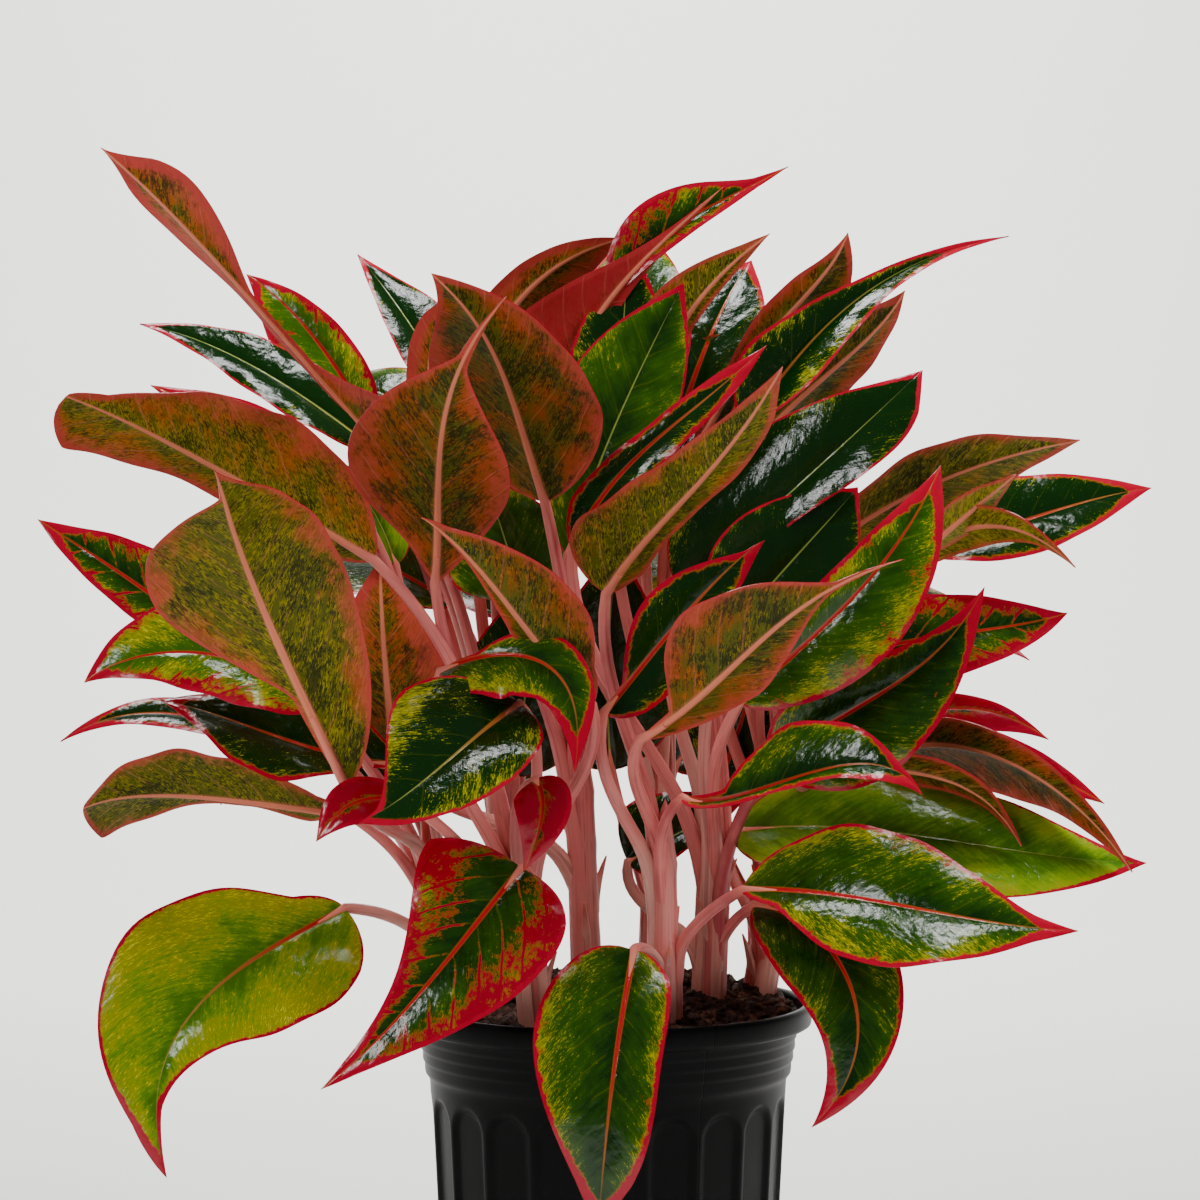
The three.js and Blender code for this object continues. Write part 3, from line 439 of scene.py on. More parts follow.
class Wire:
    """A socket that can be reckoned with: each operator adds a Math node."""

    def __init__(self, board, socket):
        self.board = board
        self.socket = socket

    def maths(self, operation, *others):
        values = dict(enumerate((self, *others)))
        return self.board.node("ShaderNodeMath", {"operation": operation}, values)

    def __add__(self, other):
        return self.maths("ADD", other)

    __radd__ = __add__

    def __mul__(self, other):
        return self.maths("MULTIPLY", other)

    __rmul__ = __mul__

    def __sub__(self, other):
        return self.maths("SUBTRACT", other)

    def __rsub__(self, other):
        return self * -1 + other

    def __truediv__(self, other):
        return self.maths("DIVIDE", other)

    def __abs__(self):
        return self.maths("ABSOLUTE")

    def fraction(self):
        return self.maths("FRACT")

    def rise(self, low, high):
        """0 at low, 1 at high and smooth between them; high may be the lower of the two."""
        settings = {"interpolation_type": "SMOOTHSTEP"}
        values = {0: self, 1: low, 2: high}
        if low > high:
            values = {0: self, 1: high, 2: low, 3: 1.0, 4: 0.0}
        return self.board.node("ShaderNodeMapRange", settings, values)


class Board:
    """A tree of nodes, of a material or of geometry."""

    def __init__(self, tree):
        self.tree = tree

    def node(self, kind, settings=None, values=None, out=0):
        """Adds a node: its settings are set first, then its sockets get numbers, colours or wires."""
        made = self.tree.nodes.new(kind)
        for name, value in (settings or {}).items():
            setattr(made, name, value)
        for name, value in (values or {}).items():
            socket = made.inputs[name]
            if isinstance(value, Wire):
                self.tree.links.new(value.socket, socket)
            elif socket.type == "RGBA":
                socket.default_value = (*value[:3], 1)
            else:
                socket.default_value = value
        return Wire(self, made.outputs[out])

    def blend(self, first, second, share):
        return self.node("ShaderNodeMix", {"data_type": "RGBA"}, {0: share, 6: first, 7: second}, 2)

    def attribute(self, name):
        return self.node("ShaderNodeAttribute", {"attribute_name": name}, out="Fac")

    def attribute_vector(self, name):
        return self.node("ShaderNodeAttribute", {"attribute_name": name}, out="Vector")

    def parts(self, vector):
        split = self.node("ShaderNodeSeparateXYZ", {}, {0: vector})
        return [Wire(self, socket) for socket in split.socket.node.outputs]

    def vector(self, x=0.0, y=0.0, z=0.0):
        return self.node("ShaderNodeCombineXYZ", {}, {0: x, 1: y, 2: z})

    def noise(self, where, scale, detail=3.0, roughness=0.55):
        values = {"Vector": where, "Scale": scale, "Detail": detail, "Roughness": roughness}
        return self.node("ShaderNodeTexNoise", {"normalize": True}, values)


class Paint(Board):
    """A material on one Principled BSDF."""

    def __init__(self, name):
        self.material = bpy.data.materials.new(name)
        self.material.use_nodes = True
        super().__init__(self.material.node_tree)
        self.shader = self.tree.nodes["Principled BSDF"]

    def set(self, **values):
        """Sets or links the shader's sockets, which are named with _ for a space."""
        for name, value in values.items():
            socket = self.shader.inputs[name.replace("_", " ")]
            if isinstance(value, Wire):
                self.tree.links.new(value.socket, socket)
            else:
                socket.default_value = (*value, 1) if socket.type == "RGBA" and len(value) == 3 else value
        return self

    def bump(self, height, distance):
        return self.node("ShaderNodeBump", {}, {"Strength": 1.0, "Distance": distance, "Height": height})

    def place(self):
        """Object coordinates, in metres."""
        return self.node("ShaderNodeTexCoord", out="Object")


class Growth(Board):
    """A Geometry Nodes tree that starts from its object's mesh."""

    def __init__(self, name):
        super().__init__(bpy.data.node_groups.new(name, "GeometryNodeTree"))
        self.tree.interface.new_socket("Geometry", in_out="INPUT", socket_type="NodeSocketGeometry")
        self.tree.interface.new_socket("Geometry", in_out="OUTPUT", socket_type="NodeSocketGeometry")
        self.start = self.tree.nodes.new("NodeGroupInput")
        self.sizes = {}

    def mesh(self):
        return Wire(self, self.start.outputs["Geometry"])

    def size(self, name, value, kind="NodeSocketFloat"):
        """A named input of the tree; its value is set on the modifier."""
        made = self.tree.interface.new_socket(name, in_out="INPUT", socket_type=kind)
        self.sizes[made.identifier] = value
        return Wire(self, self.start.outputs[name])

    def named(self, name, kind="FLOAT"):
        return self.node("GeometryNodeInputNamedAttribute", {"data_type": kind}, {"Name": name})

    def end(self, geometry, material):
        real = self.node("GeometryNodeRealizeInstances", {}, {0: geometry})
        finished = self.node("GeometryNodeSetMaterial", {}, {"Geometry": real, "Material": material})
        out = self.tree.nodes.new("NodeGroupOutput")
        self.tree.links.new(finished.socket, out.inputs[0])

    def grown(self, piece):
        """The object's mesh after the tree has run over it, as plain mesh data."""
        modifier = piece.modifiers.new(self.tree.name, "NODES")
        modifier.node_group = self.tree
        for identifier, value in self.sizes.items():
            modifier[identifier] = value
        evaluated = piece.evaluated_get(bpy.context.evaluated_depsgraph_get())
        mesh = bpy.data.meshes.new_from_object(evaluated)
        piece.modifiers.remove(modifier)
        return mesh


# ---- pieces ----


def piece_of(name, mesh, material=None):
    """An object at the origin with this mesh, all in one material where one is given."""
    made = bpy.data.objects.new(name, mesh)
    bpy.context.scene.collection.objects.link(made)
    if material is not None:
        mesh.materials.clear()
        mesh.materials.append(material)
    return made


def turned_out(mesh, recalculate=False):
    """The mesh with its faces outwards and smooth."""
    work = bmesh.new()
    work.from_mesh(mesh)
    if recalculate:
        bmesh.ops.recalc_face_normals(work, faces=work.faces)
    if work.calc_volume(signed=True) < 0:
        bmesh.ops.reverse_faces(work, faces=work.faces)
    for face in work.faces:
        face.smooth = True
    work.to_mesh(mesh)
    work.free()
    return mesh


def seated(piece, slot, *nodes):
    """The finished piece rides on the plant and stands for its CAD nodes."""
    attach(piece, BODY)
    if nodes:
        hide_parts(*nodes)


def mesh_from(name, points, faces):
    mesh = bpy.data.meshes.new(name)
    mesh.from_pydata([tuple(p) for p in points], [], [tuple(f) for f in faces])
    return mesh


def put_attribute(mesh, name, values):
    """Stores a number or a vector for each of the mesh's points."""
    values = np.asarray(values, np.float32)
    kind, field = ("FLOAT", "value") if values.ndim == 1 else ("FLOAT_VECTOR", "vector")
    mesh.attributes.new(name, kind, "POINT").data.foreach_set(field, values.ravel())


# ---- pot ----

# The body's radii and heights, its wall and its drain holes, in metres.
POT = {
    "foot": 0.0885,
    "top_of_body": 0.170,
    "body_top": 0.0970,
    "wall": 0.0042,
    "floor": 0.004,
    "drain": 0.006,
    "drain_out": 0.074,
}
DRAINS = 4
DRAIN_SIDES = 32
# The rounded edge of the foot: how far inside the foot's radius, and how high.
FOOT_EDGE = ((0.0022, 0.0), (0.0008, 0.0003))

# The outside above the fluted body, from its top up: radius and height in millimetres. The band
# climbs in shallow steps with softly rounded edges, and the lip stands out over it.
BAND = (
    (97.2, 173.6), (97.6, 175.4), (98.6, 176.8), (99.5, 178.0), (99.9, 179.6), (100.0, 183.4),
    (100.2, 184.4), (100.9, 185.3), (101.1, 186.4), (101.0, 189.6), (101.2, 190.6), (101.9, 191.5),
    (102.1, 192.6), (102.0, 195.8), (102.2, 196.8), (102.8, 197.6), (103.0, 198.8), (103.0, 201.2),
    (103.4, 202.4), (105.2, 203.2), (109.4, 203.8), (110.6, 204.6), (111.0, 206.2), (111.0, 213.0),
    (110.7, 214.8), (109.8, 215.8), (108.6, 216.0), (107.2, 215.7), (106.4, 214.8), (106.2, 213.0),
    (105.6, 208.0), (102.0, 204.0), (98.6, 197.0), (95.4, 176.0), (94.2, 172.0),
)

# A flute has this many faces side by side, and rows of points at these heights in metres, close
# together where the panel starts and where its arch closes.
ACROSS_FLUTE = 26
FLUTE_ROWS = (
    0.0012, 0.003, *np.linspace(0.0065, 0.0125, 7), *np.linspace(0.018, 0.132, 17),
    *np.linspace(0.137, 0.1685, 26), 0.171,
)
# This much of a panel's width is slope on each side, and its floor is hollowed by this share.
PANEL_SLOPE = 0.0042
PANEL_HOLLOW = 0.35
# Neighbouring flutes share the points that lie this near to each other.
SEAM = 2e-5
# The direction of the mould's joint, right of the front.
MOULD_JOINT = math.radians(29.5)

POT_DUST = shade(50, 48, 46)
JOINT_SHADOW = (0, 0, 0)


def smooth(value, low, high):
    share = np.clip((value - low) / (high - low), 0, 1)
    return share * share * (3 - 2 * share)


def body_radius(z):
    return POT["foot"] + (POT["body_top"] - POT["foot"]) * z / POT["top_of_body"]


def panel_sink(aside, z):
    """How far the wall is sunk at a distance from a flute's middle: an arch with a soft edge."""
    pot = sizes("pot")
    half = pot.panel_width / 2
    spring = pot.panel_top - half
    over = np.maximum(z - spring, 0)
    inside = half - np.hypot(aside, over)
    inside = np.minimum(inside, z - pot.panel_foot)
    hollow = 1 + PANEL_HOLLOW * np.clip(1 - (aside / half) ** 2, 0, 1)
    return pot.panel_depth * smooth(inside, 0, PANEL_SLOPE) * hollow


def pot_profile():
    """Radii and heights from the foot up the outside, over the lip and down inside to the floor."""
    profile = [(POT["foot"] - inwards, z) for inwards, z in FOOT_EDGE]
    profile += [(body_radius(z), z) for z in FLUTE_ROWS]
    profile += [(radius * MM, z * MM) for radius, z in BAND]
    profile.append((body_radius(POT["floor"]) - POT["wall"], POT["floor"]))
    return profile


def flute():
    """One flute of the whole wall, as wide as its share of a turn."""
    pot = sizes("pot")
    step = 2 * math.pi / pot.flutes
    turns = np.linspace(-step / 2, step / 2, ACROSS_FLUTE + 1)
    profile = pot_profile()
    points = []
    for radius, z in profile:
        outside = radius > body_radius(z) - POT["wall"] / 2
        on_body = outside and FLUTE_ROWS[0] <= z <= FLUTE_ROWS[-1]
        sunk = radius - (panel_sink(radius * turns, z) if on_body else 0 * turns)
        points += [(r * math.sin(t), -r * math.cos(t), z) for r, t in zip(sunk, turns)]
    wide = ACROSS_FLUTE + 1
    faces = [
        (r * wide + i, r * wide + i + 1, (r + 1) * wide + i + 1, (r + 1) * wide + i)
        for r in range(len(profile) - 1)
        for i in range(ACROSS_FLUTE)
    ]
    return mesh_from("flute", points, faces)


def flutes_all_round(material):
    """The tree that turns one flute round the pot's axis."""
    pot = sizes("pot")
    growth = Growth("Flutes round the pot")
    flutes = growth.size("Flutes", pot.flutes, "NodeSocketInt")
    first = growth.size("First flute", pot.first_panel)
    marks = growth.node("GeometryNodePoints", {}, {"Count": flutes})
    index = growth.node("GeometryNodeInputIndex")
    turn = growth.vector(z=first + index * (2 * math.pi) / flutes)
    values = {"Points": marks, "Instance": growth.mesh(), "Rotation": turn}
    growth.end(growth.node("GeometryNodeInstanceOnPoints", {}, values), material)
    return growth


def pot_paint():
    """Black moulded plastic with rubbed places, dust low down and the joint of its mould."""
    pot = sizes("pot")
    paint = Paint("moulded plastic")
    place = paint.place()
    grain = paint.noise(place, 900, 2)
    cloud = paint.noise(place, 14, 4)
    x, y, z = paint.parts(place)
    rub = paint.noise(paint.vector(x * 3, y * 3, z * 0.6), 60, 5, 0.7).rise(0.58, 0.8)
    dust = (z.rise(0.15, 0.0) * 0.35 + 0.15) * cloud.rise(0.4, 0.75)
    base = paint.blend(pot.plastic, POT_DUST, dust * 0.3 + rub * 0.06)
    from_joint = abs(x * math.cos(MOULD_JOINT) + y * math.sin(MOULD_JOINT))
    joint = from_joint.rise(0.0005, 0.0002)
    base = paint.blend(base, JOINT_SHADOW, joint * 0.8)
    rough = 0.34 + cloud * 0.14 + rub * 0.1 + dust * 0.1
    relief = paint.bump(grain + cloud * 2 - joint * 6, 0.00006)
    return paint.set(Base_Color=base, Roughness=rough, Normal=relief, Specular_IOR_Level=0.1).material


def closed_wall(mesh):
    """The flutes as one wall: seams merged, the floor's two sides filled in, faces outwards."""
    work = bmesh.new()
    work.from_mesh(mesh)
    bmesh.ops.remove_doubles(work, verts=work.verts, dist=SEAM)
    rims = [edge for edge in work.edges if edge.is_boundary]
    bmesh.ops.holes_fill(work, edges=rims, sides=0)
    bmesh.ops.recalc_face_normals(work, faces=work.faces)
    work.to_mesh(mesh)
    work.free()
    return mesh


def drained(piece):
    """Cuts the drain holes through the piece's floor."""
    work = bmesh.new()
    for i in range(DRAINS):
        turn = i * 2 * math.pi / DRAINS
        spot = (POT["drain_out"] * math.cos(turn), POT["drain_out"] * math.sin(turn), POT["floor"] / 2)
        bmesh.ops.create_cone(
            work, cap_ends=True, segments=DRAIN_SIDES, radius1=POT["drain"], radius2=POT["drain"],
            depth=POT["floor"] * 4, matrix=Matrix.Translation(spot),
        )
    mesh = bpy.data.meshes.new("drains")
    work.to_mesh(mesh)
    work.free()
    cutter = piece_of("drains", mesh)
    cut = piece.modifiers.new("Drain holes", "BOOLEAN")
    cut.operation = "DIFFERENCE"
    cut.object = cutter
    cut.solver = "EXACT"
    evaluated = piece.evaluated_get(bpy.context.evaluated_depsgraph_get())
    made = bpy.data.meshes.new_from_object(evaluated)
    piece.modifiers.remove(cut)
    piece.data = made
    bpy.data.objects.remove(cutter)
    return piece


class EVERGREEN_OT_pot(bpy.types.Operator):
    """Makes the fluted pot with its stepped band, thick lip and drain holes"""

    bl_idname = "evergreen.pot"
    bl_label = "Pot"

    def execute(self, context):
        material = pot_paint()
        section = piece_of("flute", flute())
        wall = closed_wall(flutes_all_round(material).grown(section))
        bpy.data.objects.remove(section)
        pot = drained(piece_of("fluted_pot", wall, material))
        turned_out(pot.data)
        # the floor's two sides are the only faces with many corners, and stay flat
        for face in pot.data.polygons:
            face.use_smooth = len(face.vertices) <= 12
        seated(pot, "pot", "pot")
        return {"FINISHED"}


# ---- potting mix ----

# Where the mound is highest, in metres from the pot's middle.
MOUND_AT = (0.014, 0.030)
MIX_RINGS = 44
MIX_STEPS = 120
# Rings of the heap's top lie closer together near the wall.
RING_POWER = 0.8
WALL_SPARE = 0.0008
FLOOR_SPARE = 0.0003
# The pot's inside where the mix meets it, as radii and heights.
INSIDE_AT_TOP = 0.1046
INSIDE_BELOW = ((0.0988, 0.1970), (0.0948, 0.1730))

# Chips lie on faces that look up at least this much, out to this radius.
CHIPS_UP = 0.3
CHIPS_OUT = 0.0995
CHIP_SHAPE = (1, 0.55, 0.26)
CHIP_CUTS = (3, 3, 2)
CHIP_TURNS = ((-0.55, -0.5, 0), (0.55, 0.5, 6.28))
CHIP_SIZES = ((0.35, 0.4, 0.4), (1.5, 1.5, 1.6))
CHIP_SEED = 4
SIZE_SEED = 11
GNARL = 0.0032
GNARL_SCALE = 420

PALE_BARK = shade(140, 98, 66)
DARK_BARK = shade(18, 11, 9)


def mix_height(x, y):
    """The top of the mix: a mound behind the middle that falls to the wall, with soft lumps."""
    mix = sizes("mix")
    away = np.hypot(x - MOUND_AT[0], y - MOUND_AT[1]) / mix.reach
    across, back = x / MM, y / MM
    lumps = np.sin(across * 0.21 + 1) * np.cos(back * 0.17) + np.sin(across * 0.07 - back * 0.11)
    small = np.sin(across * 0.9 + back * 0.4) * np.sin(back * 0.8 - across * 0.3 + 2)
    crumbs = np.sin(across * 1.9 - back * 0.7) * np.sin(back * 2.1 + across * 0.5)
    rough = (1.5 * lumps + 0.9 * small + 0.5 * crumbs) * MM
    return mix.edge + mix.mound * np.maximum(1 - away * away, 0) + rough


def mix_heap():
    """The closed heap of mix, from the pot's floor up to its lumpy top."""
    turns = np.linspace(0, 2 * math.pi, MIX_STEPS, endpoint=False)
    points = [(0.0, 0.0, float(mix_height(np.float64(0), np.float64(0))))]
    for ring in range(1, MIX_RINGS + 1):
        radius = (INSIDE_AT_TOP - WALL_SPARE) * (ring / MIX_RINGS) ** RING_POWER
        x, y = radius * np.cos(turns), radius * np.sin(turns)
        points += list(zip(x, y, mix_height(x, y)))
    floor = POT["floor"] + FLOOR_SPARE
    inside = [(radius - WALL_SPARE, z) for radius, z in INSIDE_BELOW]
    inside.append((body_radius(floor) - POT["wall"] - WALL_SPARE, floor))
    for radius, z in inside:
        points += [(radius * math.cos(t), radius * math.sin(t), z) for t in turns]
    rings = MIX_RINGS + len(inside)

    def at(ring, i):
        return 1 + ring * MIX_STEPS + i % MIX_STEPS

    faces = [(0, at(0, i), at(0, i + 1)) for i in range(MIX_STEPS)]
    faces += [
        (at(r, i), at(r + 1, i), at(r + 1, i + 1), at(r, i + 1))
        for r in range(rings - 1)
        for i in range(MIX_STEPS)
    ]
    faces.append(tuple(at(rings - 1, i) for i in reversed(range(MIX_STEPS))))
    return mesh_from("heap", points, faces)


def bark_chip(growth):
    """A chip that is pinched towards its two ends and bent a little, one unit long."""
    cuts = dict(enumerate(CHIP_CUTS, start=1))
    block = growth.node("GeometryNodeMeshCube", {}, {"Size": CHIP_SHAPE, **cuts})
    x, y, z = growth.parts(growth.node("GeometryNodeInputPosition"))
    pinch = 1 - (x * x) * 1.5
    shaped = growth.vector(x, y * pinch, z * pinch + x * x * 0.3)
    return growth.node("GeometryNodeSetPosition", {}, {"Geometry": block, "Position": shaped})


def drawn_between(growth, limits, seed):
    values = {0: limits[0], 1: limits[1], "Seed": seed}
    return growth.node("FunctionNodeRandomValue", {"data_type": "FLOAT_VECTOR"}, values)


def gnarled(growth, shape):
    """The shape with its points pushed about by a fine noise."""
    where = growth.node("GeometryNodeInputPosition")
    values = {"Vector": where, "Scale": GNARL_SCALE, "Detail": 2.0}
    gnarl = growth.node("ShaderNodeTexNoise", {}, values, "Color")
    middle = {0: gnarl, 1: (0.5, 0.5, 0.5)}
    centred = growth.node("ShaderNodeVectorMath", {"operation": "SUBTRACT"}, middle)
    push = growth.node("ShaderNodeVectorMath", {"operation": "SCALE"}, {0: centred, "Scale": GNARL})
    return growth.node("GeometryNodeSetPosition", {}, {"Geometry": shape, "Offset": push})


def bark_scatter(material):
    """The tree that strews chips of bark over the heap's top, each turned and sized its own way."""
    mix = sizes("mix")
    growth = Growth("Bark chips")
    chip = growth.size("Chip", mix.chip)
    density = growth.size("Density", mix.density)
    seed = growth.size("Seed", CHIP_SEED, "NodeSocketInt")
    x, y, _ = growth.parts(growth.node("GeometryNodeInputPosition"))
    up = growth.parts(growth.node("GeometryNodeInputNormal"))[2]
    inside = (x * x + y * y).maths("LESS_THAN", CHIPS_OUT**2) * up.maths("GREATER_THAN", CHIPS_UP)
    values = {"Mesh": growth.mesh(), "Selection": inside, "Density": density, "Seed": seed}
    spots = growth.node("GeometryNodeDistributePointsOnFaces", {}, values)
    turn = drawn_between(growth, CHIP_TURNS, seed)
    size = drawn_between(growth, CHIP_SIZES, SIZE_SEED)
    scale = growth.node("ShaderNodeVectorMath", {"operation": "SCALE"}, {0: size, "Scale": chip})
    values = {"Points": spots, "Instance": bark_chip(growth), "Rotation": turn, "Scale": scale}
    chips = growth.node("GeometryNodeInstanceOnPoints", {}, values)
    real = growth.node("GeometryNodeRealizeInstances", {}, {0: chips})
    growth.end(gnarled(growth, real), material)
    return growth


def mix_paint():
    """Dry bark in patches on damp dark coir."""
    mix = sizes("mix")
    paint = Paint("bark and coir")
    place = paint.place()
    patch = paint.noise(place, 95, 3)
    fine = paint.noise(place, 620, 5, 0.65)
    x, y, z = paint.parts(place)
    streak = paint.noise(paint.vector(x, y * 0.35, z), 500, 3)
    dry = patch.rise(0.46, 0.62)
    base = paint.blend(mix.coir, mix.bark, dry * 0.8 + 0.05)
    base = paint.blend(base, PALE_BARK, (fine * dry).rise(0.5, 0.68) * 0.6)
    base = paint.blend(base, DARK_BARK, streak.rise(0.55, 0.4) * 0.7)
    relief = paint.bump(fine + streak * 0.5, 0.0012)
    return paint.set(Base_Color=base, Roughness=0.72 + fine * 0.25, Normal=relief).material


class EVERGREEN_OT_mix(bpy.types.Operator):
    """Heaps the potting mix and strews bark chips over it"""

    bl_idname = "evergreen.mix"
    bl_label = "Potting mix"

    def execute(self, context):
        material = mix_paint()
        heap = piece_of("heap_of_mix", mix_heap(), material)
        turned_out(heap.data)
        chips = piece_of("bark_chips", bark_scatter(material).grown(heap), material)
        turned_out(chips.data, recalculate=True)
        seated(heap, "potting_mix", "potting_mix")
        seated(chips, "potting_mix")
        return {"FINISHED"}


# ---- canes and stalks ----

CANE_FOOT = 150
CANE_TOP_SHARE = 0.78
CANE_RINGS = 26
# The sheaths of fallen leaves leave a ring at each joint of the cane.
CANE_JOINTS = 6.5
JOINT_SWELL = 0.07
# The rolled-up leaf on a cane's end, as shares of the cane past its top.
SPEAR = (0.05, 0.1, 0.15, 0.2, 0.24)
SPEAR_ALONG = 0.7
CANE_SEED = 0.6

# Stalks leave the cane no lower than this, and stand round it at a distance from its middle, from
# this share of it up.
LOWEST_STALK = 232
WRAP_OUT = 4.4
WRAP_FOOT = 0.3
WRAP_RINGS = 8
WRAP_SPREAD = 1.6
STALK_STEPS = 18
STALK_SIDES = 16
STALK_REACH = 0.38
# A stalk runs on under the rib between these shares of it, so many millimetres below its middle.
UNDER_RIB = np.linspace(0.025, 0.10, 4)
BELOW_RIB = np.linspace(0.5, 1.3, 4)[:, None]
SHEATH_SWELL = 0.28
NECK_FADE = 0.42
# The groove's depth where a stalk starts, and how much of it is lost by its end.
CHANNEL = 0.9
CHANNEL_FADE = 0.7
# Numbers that are spread evenly over the leaves by these steps stand in for random draws.
GOLDEN = 0.618
SEED_STEP = 0.37

# Torn sheaths: the first one's share of the cane, the steps from one to the next up the cane and
# round it, and how far they stand out at their two ends, in millimetres.
TORN_SHEATHS = 3
SHEATH_LOWEST = 0.5
SHEATH_STEP = 0.13
SHEATH_TURN = 2.4
SHEATH_OUT = (5, 14)
SHEATH_LENGTH = 30
SHEATH_RADIUS = 3.6
SHEATH_SEED = 0.95

# The way a leaf's upper side looks where its turn is 0: up and to the front.
FACING = np.array([0, -1, 0.5]) / math.sqrt(1.25)
CARRY_STEPS = 12

# Painted shade: the dark rose of the furrows between sheath edges.
SHEATH_GAP_SHADE = shade(112, 34, 44)
# Painted shade: the dark reddish brown at the stalks' foot, next to the mix.
PAINTED_SHADE_AT_FOOT = shade(120, 60, 44)


def unit(vectors):
    return vectors / np.maximum(np.linalg.norm(vectors, axis=-1, keepdims=True), 1e-12)


def square_to(vectors, ways):
    """The vectors with what runs along the ways taken out, at length 1."""
    return unit(vectors - (vectors * ways).sum(-1, keepdims=True) * ways)


def turned_about(vectors, ways, angles):
    """Vectors that are square to the ways, turned about them."""
    angles = np.asarray(angles)[..., None]
    return vectors * np.cos(angles) + np.cross(ways, vectors) * np.sin(angles)


def rib_points(rib, s):
    """Points at s along a rib that runs through its points at even steps, in millimetres."""
    rib = np.asarray(rib, float)
    steps = len(rib) - 1
    made = np.zeros((len(s), 3))
    for i, point in enumerate(rib):
        share = np.ones(len(s))
        for j in range(len(rib)):
            if j != i:
                share = share * (s * steps - j) / (i - j)
        made += share[:, None] * point
    return made


def rib_ways(rib, s):
    before = rib_points(rib, np.maximum(s - 1e-3, 0))
    return unit(rib_points(rib, np.minimum(s + 1e-3, 1)) - before)


def upper_looks(leaf, s):
    """The way the upper side looks: set at mid-leaf, carried along the rib, then twisted."""
    middle = rib_ways(leaf.rib, np.full_like(s, 0.5))
    facing = square_to(np.tile(FACING, (len(s), 1)), middle)
    look = turned_about(facing, middle, np.full(len(s), math.radians(leaf.turn)))
    for step in range(1, CARRY_STEPS + 1):
        look = square_to(look, rib_ways(leaf.rib, 0.5 + (s - 0.5) * step / CARRY_STEPS))
    twist = math.radians(leaf.twist) * 0.5 * np.sign(s - 0.5) * np.abs(2 * s - 1)
    return turned_about(look, rib_ways(leaf.rib, s), twist)


def cane_point(stem, share):
    foot = np.array([*stem.foot, CANE_FOOT], float)
    return foot + (np.array(stem.top, float) - foot) * share


def stalk_path(stem, leaf, spread):
    """A stalk wraps its cane, leaves it upwards, swings to its blade, and runs on under the rib."""
    up = unit(np.array(stem.top, float) - np.array([*stem.foot, CANE_FOOT], float))
    lowest = (LOWEST_STALK - CANE_FOOT) / (stem.top[2] - CANE_FOOT)
    leaves_at = max(leaf.leaves_at, lowest)
    start = cane_point(stem, leaves_at)
    end = rib_points(leaf.rib, np.array([0.0]))[0]
    way = unit(end - start)
    first = rib_ways(leaf.rib, np.array([0.0]))[0]
    leave = unit(up * 0.8 + way * 0.5)
    arrive = unit(first * leaf.bend + way * 0.5)
    reach = np.linalg.norm(end - start) * STALK_REACH
    corners = (start, start + leave * reach, end - arrive * reach, end)
    t = np.linspace(0, 1, STALK_STEPS)[:, None]
    path = sum(c * k * t**i * (1 - t) ** (3 - i) for i, (c, k) in enumerate(zip(corners, (1, 3, 3, 1))))
    out = turned_about(square_to(way, up), up, spread)
    path += out * WRAP_OUT * (1 - smooth(t, 0.0, 0.35))
    shares = np.linspace(WRAP_FOOT, leaves_at, WRAP_RINGS)[:-1]
    wrapped = np.array([cane_point(stem, share) for share in shares]) + out * WRAP_OUT
    under = rib_points(leaf.rib, UNDER_RIB) - upper_looks(leaf, UNDER_RIB) * BELOW_RIB
    return np.vstack([wrapped, path, under])


class Lines:
    """Middle lines in millimetres, with what the sweep and the paint read at each point."""

    def __init__(self):
        self.points = []
        self.edges = []
        self.facts = {"thick": [], "channel": [], "top_side": [], "along": [], "seed": []}

    def add(self, path, radii, channel, top_side, seed, reach=1.0):
        """Adds a line; channel is how deep its groove is, on the side that top_side looks to."""
        first = len(self.points)
        rows = len(path)
        self.points.extend(path)
        self.edges.extend((first + i, first + i + 1) for i in range(rows - 1))
        self.facts["thick"].extend(np.array(radii) * MM)
        self.facts["channel"].extend(np.broadcast_to(channel, rows))
        self.facts["top_side"].extend(np.broadcast_to(top_side, (rows, 3)))
        self.facts["along"].extend(np.linspace(0, reach, rows))
        self.facts["seed"].extend([seed] * rows)

    def mesh(self):
        mesh = bpy.data.meshes.new("lines")
        mesh.from_pydata([tuple(p * MM) for p in self.points], self.edges, [])
        for name, values in self.facts.items():
            put_attribute(mesh, name, values)
        return mesh


def add_cane(lines, stem):
    """The cane, ringed at its joints, and the youngest leaf, still rolled up, as its pointed end."""
    radius = sizes("stems").cane_radius / MM
    shares = np.linspace(0, 1, CANE_RINGS)
    joints = np.abs(np.sin(shares * math.pi * CANE_JOINTS)) ** 10
    radii = radius * (1 - (1 - CANE_TOP_SHARE) * shares) * (1 + JOINT_SWELL * joints)
    tip = np.array(SPEAR)
    tip_radii = radius * CANE_TOP_SHARE * (1 - tip / SPEAR[-1]) ** 0.6
    path = [cane_point(stem, share) for share in (*shares, *(1.0 + tip))]
    lines.add(path, [*radii, *tip_radii], 0.0, (0, -1, 0), CANE_SEED, SPEAR_ALONG)


def add_stalks(lines, stem):
    """The leaf stalks: sheathing and wide round the cane, grooved on top, thin under the blade."""
    stems = sizes("stems")
    for i, leaf in enumerate(stem.leaves):
        path = stalk_path(stem, leaf, WRAP_SPREAD * ((i * GOLDEN) % 1 - 0.5))
        t = np.linspace(0, 1, len(path))
        radii = (stems.stalk_radius + (stems.neck_radius - stems.stalk_radius) * t) / MM
        radii = radii * (1 + SHEATH_SWELL * (1 - smooth(t, 0.2, 0.55)))
        radii = radii * (1 - NECK_FADE * smooth(t, 0.8, 1.0))
        outward = upper_looks(leaf, np.array([0.1]))[0] + np.array([0, 0, 0.3])
        ways = unit(np.gradient(path, axis=0))
        top_side = square_to(np.tile(outward, (len(path), 1)), ways)
        lines.add(path, radii, CHANNEL - CHANNEL_FADE * t, top_side, (i * SEED_STEP) % 1)


